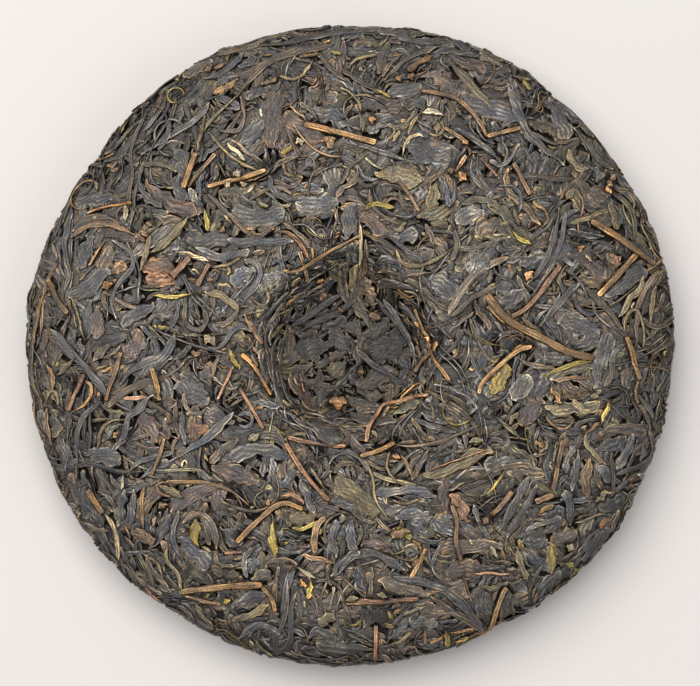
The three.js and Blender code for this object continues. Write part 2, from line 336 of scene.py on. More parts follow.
# Each sort of piece: rings along it, places across its face and under it, the most that lie side
# by side, its range of length, width and thickness, how far its edges drop, the width of its
# strands and how deep they part it, how far it bends, where its blunt end ends and its point
# starts, the least share of the width that its ends keep, and how uneven its width is.
SORTS = {
    "strip": dict(rings=16, face=7, under=1, family=4, length=(9, 32), width=(0.8, 2.5),
                  thick=(0.35, 0.6), drop=(0.05, 0.35), strand=(0.6, 1.1), parting=(0.15, 0.42),
                  bend=1.25, blunt=(0.03, 0.14), point=(0.55, 0.93), least=0.3, ragged=0.18),
    "leaf": dict(rings=14, face=11, under=1, family=2, length=(8, 21), width=(2.8, 6.2),
                 thick=(0.3, 0.45), drop=(0.05, 0.45), strand=(0.8, 2.0), parting=(0.1, 0.4),
                 bend=0.5, blunt=(0.03, 0.25), point=(0.5, 0.92), least=0.35, ragged=0.16),
    "thread": dict(rings=19, face=3, under=1, family=4, length=(8, 28), width=(0.4, 0.9),
                   thick=(0.35, 0.6), drop=(0.05, 0.1), strand=(0.9, 1.8), parting=(0.0, 0.05),
                   bend=2.1, blunt=(0.03, 0.1), point=(0.6, 0.9), least=0.35, ragged=0.12),
    "shred": dict(rings=6, face=5, under=1, family=2, length=(2.2, 8.5), width=(0.6, 2.4),
                  thick=(0.3, 0.6), drop=(0.0, 0.15), strand=(0.5, 1.2), parting=(0.1, 0.4),
                  bend=0.9, blunt=(0.04, 0.3), point=(0.4, 0.9), least=0.3, ragged=0.25),
    "backing": dict(rings=7, face=7, under=1, family=1, length=(7, 16), width=(3.5, 7.0),
                    thick=(0.2, 0.3), drop=(0.0, 0.1), strand=(0.7, 1.3), parting=(0.3, 0.6),
                    bend=0.6, blunt=(0.03, 0.2), point=(0.6, 0.95), least=0.4, ragged=0.2),
    "stem": dict(rings=24, face=7, under=3, family=1, length=(8, 24), width=(0.9, 1.9),
                 thick=(0.8, 1.2), drop=(0.0, 0.15), strand=(0.5, 0.9), parting=(0.12, 0.3),
                 bend=0.45, blunt=(0.01, 0.03), point=(0.96, 0.99), least=0.85, ragged=0.1),
    "bud": dict(rings=16, face=7, under=2, family=1, length=(4, 12), width=(1.0, 2.2),
                thick=(0.6, 1.0), drop=(0.05, 0.3), strand=(0.5, 0.9), parting=(0.08, 0.25),
                bend=0.9, blunt=(0.15, 0.35), point=(0.4, 0.7), least=0.12, ragged=0.15),
    "crumb": dict(rings=7, face=7, under=3, family=1, length=(1.5, 4), width=(1.2, 2.6),
                  thick=(0.8, 1.5), drop=(0.1, 0.5), strand=(0.8, 1.4), parting=(0.1, 0.4),
                  bend=0.3, blunt=(0.3, 0.5), point=(0.5, 0.7), least=0.3, ragged=0.3),
}

# How uneven one piece is: its line and margin against its width, the rise of its face along
# it, the turn of it across, its tilt, how its strands drift and slant, and its least width.
SWAY = 0.14
FRAY = 0.12
CRUMPLE = 0.08
TWIST = 0.1
TILT = 0.13
DRIFT = 0.45
SLANT = 1.5
NARROWEST = 0.22

# How the pieces of a family differ in length and bend, how far they lie apart and ahead of one
# another, and how far they run aslant to the edge in the middle of a face, at its edge and at
# the lip. A hook is the sharp bend that one family in five has at one end.
LENGTHS = (0.75, 1.1)
APART = (0.85, 1.15)
AHEAD = 0.14
OWN_BEND = 0.12
HOOK = 4.5
HOOKED_SHARE = 0.2
ASLANT = 1.6
ALIGNED_AT_EDGE = 1.0
ALIGNED_AT_LIP = 1.1
EDGE_BAND = (0.72 * RADIUS, 0.95 * RADIUS)
LIP_WIDTH = 5
TIGHTEST_BEND = 1.4

# How pieces lie: the slopes they bend along and across and the deepest they go.
SLOPE_ALONG = 0.75
SLOPE_ACROSS = 1.5
DEEPEST = 2.3

# How they are meshed: how far a tip reaches beyond the last ring against that ring's distance
# from the one before, what is added to a piece's thickness and the share of its colour that is
# kept on its underside, and how far apart the patterns of two pieces may start.
TIP_REACH = 0.4
UNDERSIDE_GAP = 0.05
UNDERSIDE_SHADE = 0.6
FIBRE_SHIFT = 90


def drawn(rng, low_high, count):
    """Random values between a lowest and a highest."""
    return rng.uniform(*low_high, count)


class Batch:
    """Pieces of one sort before they are laid: their paths, outlines and faces.

    Across the piece, its edge places are set out evenly from -1 to 1 times half its width.
    The width is rounded off at the blunt end, thins to the point and wanders between them.
    The face is a low arch, parted into strands by the absolute sine of a phase that grows
    across the piece and drifts along it, and tilted a little to one side.
    """

    def __init__(self, rng, sort, path, length, width):
        form = SORTS[sort]
        at, out, along = path
        count, steps = at.shape[:2]
        share = np.linspace(0, 1, steps)
        self.sort = sort
        self.share = share
        self.length = length
        self.across = np.linspace(-1, 1, form["face"])
        relative = np.clip(width / np.mean(form["width"]), 0.6, 1.3)
        thick = (drawn(rng, form["thick"], count) * relative)[:, None, None]
        half = self.half_width(rng, form, width)
        self.edge = half[..., None] * (1 - np.abs(self.across))
        sway = 0 if sort == "stem" else SWAY
        sway = sway * width[:, None] * wander(rng, count, share, (1, 2, 4))
        fray = 1 + FRAY * wander(rng, count, share, (3, 5, 8))
        self.offset = sway[..., None] + half[..., None] * self.across
        self.offset[..., 0] = sway - half * fray
        side = np.cross(out, along)
        places = at[:, :, None] + side[:, :, None] * self.offset[..., None]
        self.seat, self.out, arc = settle(places)
        self.cells = cells_of(arc, self.seat)
        between = (self.seat[:, 1:] + self.seat[:, :-1]) / 2
        self.between = cells_of((arc[:, 1:] + arc[:, :-1]) / 2, between)
        self.crown = arc > ARC_EDGE
        self.gap_along = length / (steps - 1)
        self.gap_across = width / (form["face"] - 1)
        most = (form["face"] - 1) / 2
        strands = np.clip(width / drawn(rng, form["strand"], count), 0.8, most)[:, None, None]
        drift = wander(rng, count, share, (1, 2, 3))[..., None] * DRIFT
        drift = drift + rng.uniform(-1, 1, (count, 1, 1)) * share[:, None] * SLANT
        phase = strands * self.across / 2 + drift + rng.random((count, 1, 1))
        self.strand = np.abs(np.sin(np.pi * phase)) ** 0.8
        parting = drawn(rng, form["parting"], count)[:, None, None]
        drop = drawn(rng, form["drop"], count)[:, None, None]
        tilt = rng.normal(0, TILT, (count, 1, 1)) * self.across
        crumple = wander(rng, count, share, (1, 2, 4))[..., None] * CRUMPLE
        crumple = crumple + wander(rng, count, share, (1, 3, 5))[..., None] * self.across * TWIST
        arch = np.sqrt(1 - self.across**4)
        self.lift = crumple + tilt + parting * (self.strand - 1) - drop * self.across**2
        self.lift = self.lift + 0.5 * thick * (arch - 1)
        self.below = thick * arch
        self.phase = rng.random((count, 3))

    def half_width(self, rng, form, width):
        """Half the width of each piece at each step, its blunt end at either side."""
        count, share = len(width), self.share
        blunt = drawn(rng, form["blunt"], count)[:, None]
        point = drawn(rng, form["point"], count)[:, None]
        start = np.clip(share / blunt, 0, 1) ** 0.7
        end = 1 - np.clip((share - point) / (1 - point), 0, 1) ** 1.4
        taper = np.clip(np.minimum(start, end), form["least"], 1)
        taper = taper * (1 + form["ragged"] * wander(rng, count, share))
        flip = rng.random(count) < 0.5
        taper[flip] = taper[flip][:, ::-1]
        return np.clip(width[:, None] * taper, NARROWEST, None) / 2

    def __len__(self):
        return len(self.length)


def random_batch(rng, sort, middles, scale=1.0):
    """Families of pieces of one sort, the first of each through a given middle.

    Near the outer edge and the hollow's lip they mostly run round the cake, and elsewhere any
    way. Each family bends by one even arc, an S and now and then a hook at one end, and its
    members lie side by side with their lengths and bends a little changed.
    """
    form = SORTS[sort]
    members = rng.integers(1, form["family"] + 1, len(middles))
    family = np.repeat(np.arange(len(middles)), members)
    place = np.arange(len(family)) - np.searchsorted(family, family)
    count = len(family)
    steps = 2 * form["rings"] - 2
    size = rng.random(len(middles))[family] ** 1.3
    length = form["length"][0] + (form["length"][1] - form["length"][0]) * size
    length = length * scale * rng.uniform(*LENGTHS, count)
    width = drawn(rng, form["width"], len(middles))[family] * (0.75 + 0.4 * size) * scale**0.5
    at, out, _ = settle(middles[family])
    turn = np.arctan2(at[:, 1], at[:, 0])
    around = np.stack([-np.sin(turn), np.cos(turn), 0 * turn], -1)
    reach = np.hypot(at[:, 0], at[:, 1])
    lip = bump(reach - HOLLOW_LIP + 2, LIP_WIDTH) * (at[:, 2] > EDGE_MIDDLE)
    spread = ASLANT - ALIGNED_AT_EDGE * smooth(reach, *EDGE_BAND) - ALIGNED_AT_LIP * lip
    heading = np.where(rng.random(len(middles)) < 0.5, 0, np.pi)[family]
    angle = heading + rng.normal(0, 1, len(middles))[family] * spread
    along = around * np.cos(angle)[:, None] + np.cross(out, around) * np.sin(angle)[:, None]
    side = np.cross(out, along)
    aside = place * width * rng.uniform(*APART, count)
    ahead = rng.normal(0, AHEAD, count) * length * (place > 0)
    at = at + side * aside[:, None] + along * ahead[:, None]
    share = np.linspace(-1, 1, steps)
    one_each = (len(middles), 1)
    arc = rng.normal(0, form["bend"], one_each)
    twist = rng.normal(0, form["bend"] * 0.8, one_each) * np.pi / 2
    hook = rng.normal(0, HOOK, one_each) * (rng.random(one_each) < HOOKED_SHARE)
    bend = arc + twist * np.sin(np.pi * share) + hook * smooth(share, 0.4, 0.9)
    turns = (bend[family] + rng.normal(0, OWN_BEND, (count, 1))) / steps
    tightest = (length / steps / np.maximum(TIGHTEST_BEND * width, TIGHTEST_BEND))[:, None]
    path = walk_both_ways(at, along, length, np.clip(turns, -tightest, tightest))
    return Batch(rng, sort, path, length, width)


def cells_of(arc, at):
    """The cell of each place on two flat maps, one for each face.

    A place's distance from its face's own pole, along the section, is laid off from the
    map's middle in the place's own direction from the axis.
    """
    crown = arc > ARC_EDGE
    away = np.where(crown, ARC_END - arc, arc)
    side = at[..., :2] / np.maximum(np.hypot(at[..., 0], at[..., 1]), 1e-6)[..., None]
    column = np.rint(side[..., 0] * away / CELL).astype(int) + MAP_HALF
    row = np.rint(side[..., 1] * away / CELL).astype(int) + MAP_HALF
    return (crown * MAP_SIZE + column) * MAP_SIZE + row


MAP_HALF = int(max(ARC_EDGE, ARC_END - ARC_EDGE) / CELL) + 3
MAP_SIZE = 2 * MAP_HALF + 1


def slope_limited(depth, fall):
    """The shallowest lines that lie nowhere above depth and change by at most fall a step.

    Along the first axis: the running highest of depth plus a ramp, less the ramp, both ways.
    """
    ramp = np.arange(len(depth))[:, None] * fall
    ahead = np.maximum.accumulate(depth + ramp, 0) - ramp
    back = np.maximum.accumulate((depth - ramp)[::-1], 0)[::-1] + ramp
    return np.maximum(ahead, back)


class Bed:
    """What is laid so far: how deep each cell is filled below the mould, and which are bare."""

    def __init__(self):
        size = 2 * MAP_SIZE * MAP_SIZE
        self.on_cake = np.zeros(size, bool)
        self.place = np.zeros((size, 3))
        self.share = np.zeros(size)
        grid = (np.arange(MAP_SIZE) - MAP_HALF) * CELL
        x, y = np.meshgrid(grid, grid, indexing="ij")
        away = np.hypot(x, y)
        side = np.stack([x, y], -1) / np.maximum(away, 1e-6)[..., None]
        for crown in (0, 1):
            limit = ARC_END - ARC_EDGE if crown else ARC_EDGE
            arc = ARC_END - away if crown else away
            reach, height, _, _ = section_at(arc)
            part = slice(crown * MAP_SIZE**2, (crown + 1) * MAP_SIZE**2)
            self.on_cake[part] = (away <= limit).ravel()
            self.place[part] = turned(side, reach, height).reshape(-1, 3)
            self.share[part] = arc.ravel() / ARC_END
        self.clear()

    def clear(self):
        """Takes up all that is laid."""
        self.under = np.full(len(self.share), -2.0)
        self.bare = self.on_cake.copy()

    def middles(self, rng, count, low, high):
        """Random places on bare cells between two shares of the section from the belly's middle."""
        cells = np.flatnonzero(self.bare & (self.share >= low) & (self.share <= high))
        if len(cells) == 0:
            return np.zeros((0, 3))
        return self.place[rng.choice(cells, count)] + rng.normal(0, 0.3, (count, 3))

    def lay(self, batch, shown, level):
        """Lays the pieces in turn, and gives back those kept with each one's depth.

        A piece is kept where at least the shown share of it lies on bare cells. It lies at its
        own level, or under what is there, bending no steeper than the slopes allow. Then the
        cells that it covers are bare no more, and later pieces dip under it and its neighbours.
        """
        kept, depths = [], []
        for i in range(len(batch)):
            cells = batch.cells[i]
            bare = self.bare[cells]
            if bare.mean() < shown:
                continue
            depth = np.maximum(self.under[cells], level[i])
            depth = slope_limited(depth, SLOPE_ALONG * batch.gap_along[i])
            depth = slope_limited(depth.T, SLOPE_ACROSS * batch.gap_across[i]).T
            depth = np.minimum(depth, DEEPEST)
            lower = depth + batch.below[i]
            self.bare[cells[:, 1:-1]] = False
            self.bare[batch.between[i][:, 1:-1]] = False
            self.under[cells] = np.maximum(self.under[cells], lower)
            inner, lower = cells[1:-1, 1:-1], lower[1:-1, 1:-1]
            for step in (1, MAP_SIZE, MAP_SIZE + 1):
                self.under[inner + step] = np.maximum(self.under[inner + step], lower)
            kept.append(i)
            depths.append(depth)
        return np.array(kept, int), np.array(depths)


def tube_faces(rings, around):
    """Faces of a tube of rings with a tip at each end: corners of the quads and triangles.

    Quads run from ring to ring and triangles from each end's ring to its tip, all facing out.
    """
    ring = np.arange(around)
    after = (ring + 1) % around
    first = np.arange(rings - 1)[:, None] * around
    beyond = first + around
    quads = np.stack([first + ring, beyond + ring, beyond + after, first + after], -1)
    last = (rings - 1) * around
    start = np.stack([np.full(around, rings * around), ring, after], -1)
    end = np.stack([np.full(around, rings * around + 1), last + after, last + ring], -1)
    return quads.reshape(-1, 4), np.concatenate([start, end])


class Heap:
    """Finished pieces of one colour, gathered into the arrays of one mesh."""

    def __init__(self):
        self.clear()

    def clear(self):
        """Empties the heap."""
        self.points, self.tints, self.fibres, self.edges = [], [], [], []
        self.corners, self.sizes = [], []
        self.count = 0

    def add(self, batch, kept, depths, tints):
        """Adds the kept pieces of a batch at their depths, in their tints.

        Every second step of a piece becomes a ring of its face's places and a few under them,
        and beyond the first and last ring lies a tip.
        """
        form = SORTS[batch.sort]
        rings, face = form["rings"], form["face"]
        under = np.linspace(1, -1, form["under"] + 2)[1:-1]
        columns = np.rint((under + 1) / 2 * (face - 1)).astype(int)
        columns = np.clip(columns, 1, face - 2)
        order = np.concatenate([np.arange(face), columns])
        around = len(order)
        each = rings * around + 2
        number = len(kept)

        def ringed(values):
            return values[:, ::2][:, :, order]

        def tips_of(values):
            return np.stack([values[:, 0].mean(1), values[:, -1].mean(1)], 1)

        def joined(values, ends):
            return np.concatenate([values.reshape(number, -1, 3), ends], 1).reshape(-1, 3)

        rise = ringed(batch.lift[kept] - depths)
        rise[..., face:] -= batch.below[kept][:, :, columns] + UNDERSIDE_GAP
        points = ringed(batch.seat[kept]) + ringed(batch.out[kept]) * rise[..., None]
        middle = points.mean(2)
        first = middle[:, 0] + TIP_REACH * (middle[:, 0] - middle[:, 1])
        last = middle[:, -1] + TIP_REACH * (middle[:, -1] - middle[:, -2])
        self.points.append(joined(points, np.stack([first, last], 1)))
        colour = ringed(tints)
        colour[..., face:, :] *= UNDERSIDE_SHADE
        self.tints.append(joined(colour, tips_of(colour)))
        offset = ringed(batch.offset[kept])
        along = (batch.share[::2] * batch.length[kept][:, None])[..., None] + 0 * offset
        fibre = np.stack([offset, along, 0 * offset], -1)
        fibre += (batch.phase[kept] * FIBRE_SHIFT)[:, None, None]
        self.fibres.append(joined(fibre, tips_of(fibre)))
        edge = ringed(batch.edge[kept])
        edge[..., face:] = 0
        edge = np.concatenate([edge.reshape(number, -1), np.zeros((number, 2))], 1)
        self.edges.append(edge.ravel())
        shift = (np.arange(number) * each + self.count)[:, None, None]
        for corners in tube_faces(rings, around):
            self.corners.append((corners + shift).ravel())
            self.sizes.append(np.full(number * len(corners), corners.shape[1]))
        self.count += number * each

    def mesh(self, name):
        """The heap as one mesh, in metres, on the uneven cake."""
        lists = (self.corners, self.sizes, self.tints, self.fibres, self.edges)
        points = unevened(np.concatenate(self.points))
        return make_mesh(name, points, *[np.concatenate(values) for values in lists])


def make_mesh(name, points, corners, sizes, tints, fibres, edges):
    """A smooth-shaded mesh from arrays, with tint, fibre coordinates and way in from the edge."""
    mesh = bpy.data.meshes.new(name)
    mesh.vertices.add(len(points))
    mesh.vertices.foreach_set("co", (points * MM).astype(np.float32).ravel())
    mesh.loops.add(len(corners))
    mesh.loops.foreach_set("vertex_index", corners.astype(np.int32))
    mesh.polygons.add(len(sizes))
    mesh.polygons.foreach_set("loop_start", (np.cumsum(sizes) - sizes).astype(np.int32))
    mesh.polygons.foreach_set("loop_total", sizes.astype(np.int32))
    mesh.polygons.foreach_set("use_smooth", np.ones(len(sizes), bool))
    mesh.update(calc_edges=True)
    tint = mesh.color_attributes.new("tint", "FLOAT_COLOR", "POINT")
    opaque = np.concatenate([np.clip(tints, 0, 1), np.ones((len(tints), 1))], 1)
    tint.data.foreach_set("color", opaque.astype(np.float32).ravel())
    fibre = mesh.attributes.new("fibre", "FLOAT_VECTOR", "POINT")
    fibre.data.foreach_set("vector", (fibres * MM).astype(np.float32).ravel())
    edge = mesh.attributes.new("edge", "FLOAT", "POINT")
    edge.data.foreach_set("value", edges.astype(np.float32))
    return mesh


# Colours as display values: a piece's own, what it turns to in patches, and its broken ends.
# The third colour is also painted on margins and crests as a highlight.
LEAF_TINTS = {
    "slate": ((58, 58, 61), (73, 71, 70), (146, 140, 128)),
    "ash": ((66, 65, 65), (83, 80, 77), (160, 153, 138)),
    "umber": ((68, 62, 56), (87, 77, 65), (154, 132, 102)),
    "moss": ((66, 63, 55), (89, 83, 64), (158, 144, 104)),
    "dusk": ((65, 58, 56), (82, 70, 63), (144, 121, 99)),
    "soot": ((45, 45, 46), (62, 59, 56), (122, 114, 98)),
    "bark": ((59, 53, 46), (82, 71, 56), (144, 119, 84)),
}
LEAF_WEIGHTS = (0.18, 0.17, 0.16, 0.15, 0.11, 0.14, 0.09)
STEM_TINTS = {
    "golden": ((121, 94, 61), (90, 71, 50), (178, 144, 97)),
    "tan": ((108, 86, 64), (84, 67, 52), (156, 126, 90)),
    "russet": ((120, 90, 69), (92, 70, 56), (160, 125, 95)),
    "orange": ((156, 114, 72), (118, 84, 58), (200, 162, 108)),
}
BUD_TINTS = {
    "pale": ((160, 148, 118), (118, 106, 82), (184, 172, 138)),
    "olive": ((134, 117, 58), (100, 88, 54), (164, 150, 88)),
    "khaki": ((105, 95, 73), (86, 77, 60), (142, 128, 94)),
}
TINTS = {**LEAF_TINTS, **STEM_TINTS, **BUD_TINTS}
LOOSE_TINTS = ("golden", "tan", "russet", "tan", "khaki", "olive", "khaki", "pale", "orange")
LITTER_TINTS = ("tan", "khaki", "khaki", "tan", "khaki", "russet", "golden", "olive")
LITTER_SHARE = 0.24
LITTER_SORTS = ("shred", "thread")
# The core's near-black colour is painted shade for the depth between the leaves.
CORE_SHADE_TINT = (24, 20, 17)

# How the tints change: how far the patches differ across a piece, the share of its length that
# an end takes, how far margins and crests turn to the ends' colour as a painted highlight, the
# painted shade left in a parting and the painted highlight that a strand and its crest add to
# it, and how much lighter one piece is than another.
PATCH_ACROSS = 0.3
END_SHARE = 0.07
MARGIN_TURN = 0.7
CREST_TURN = 0.6
PARTING_LIGHT = 0.32
STRAND_LIGHT = 0.7
CREST_LIGHT = 0.35
LIGHT_SPREAD = 0.2

# Painted shade, where the cake is darker and by what share: in the hollow, towards the outer
# edge where the faces turn from the light, and at depth under other pieces.
HOLLOW_SHADE_SPAN = (16, 23)
HOLLOW_SHADE = 0.56
RIM_SHADE_SPAN = (68, 98)
RIM_SHADE = 0.4
DEEP = (0.0, 0.9)
DEEP_SHADE = 0.72


def piece_tints(rng, batch, kept, colours):
    """Colours for the kept pieces: [piece, step, across, channel].

    Each piece's own colour is made lighter or darker and turns to its second one in patches
    along it and to its third at both ends, and at its margins and crests as a painted highlight.
    Painted highlight and shade make it lighter on the strands than in the partings between them,
    and painted shade makes it darker in the hollow and towards the edge.
    """
    count, share = len(kept), batch.share
    own, other, edge = [linear(*colour) for colour in colours]
    patch = smooth(wander(rng, count, share, (1, 2, 3)), -0.2, 1.1)[..., None]
    patch = patch + PATCH_ACROSS * wander(rng, count, share, (2, 4))[..., None] * batch.across
    patch = np.clip(patch, 0, 1)[..., None]
    ends = 1 - smooth(np.minimum(share, 1 - share), 0.0, END_SHARE)
    ends = (ends * rng.random((count, 1)))[..., None]
    # Margins and crests turn to the ends' colour as a painted highlight.
    margin = smooth(wander(rng, count, share), -0.6, 1)[..., None]
    margin = margin * bump(np.abs(batch.across) - 0.95, 0.2)
    strand = batch.strand[kept]
    crest = strand**9 * smooth(wander(rng, count, share, (1, 2, 5)), -0.5, 1)[..., None]
    edged = np.clip(ends + MARGIN_TURN * margin + CREST_TURN * crest, 0, 1)[..., None]
    # Painted shade in the partings and painted highlight on the strands and their crests.
    relief = PARTING_LIGHT + STRAND_LIGHT * strand + CREST_LIGHT * strand**6
    light = np.exp(rng.normal(0, LIGHT_SPREAD, count))[:, None, None]
    seat = batch.seat[kept]
    reach = np.hypot(seat[..., 0], seat[..., 1])
    # Painted shade: darker in the hollow.
    inside = (1 - smooth(reach, *HOLLOW_SHADE_SPAN)) * batch.crown[kept]
    # Painted shade: darker towards the outer edge, where the faces turn away from the light.
    rim_shaded = smooth(reach, *RIM_SHADE_SPAN)
    shade = relief * light * (1 - HOLLOW_SHADE * inside) * (1 - RIM_SHADE * rim_shaded)
    colour = own * (1 - patch) + other * patch
    colour = colour * (1 - edged) + edge * edged
    return colour * shade[..., None]


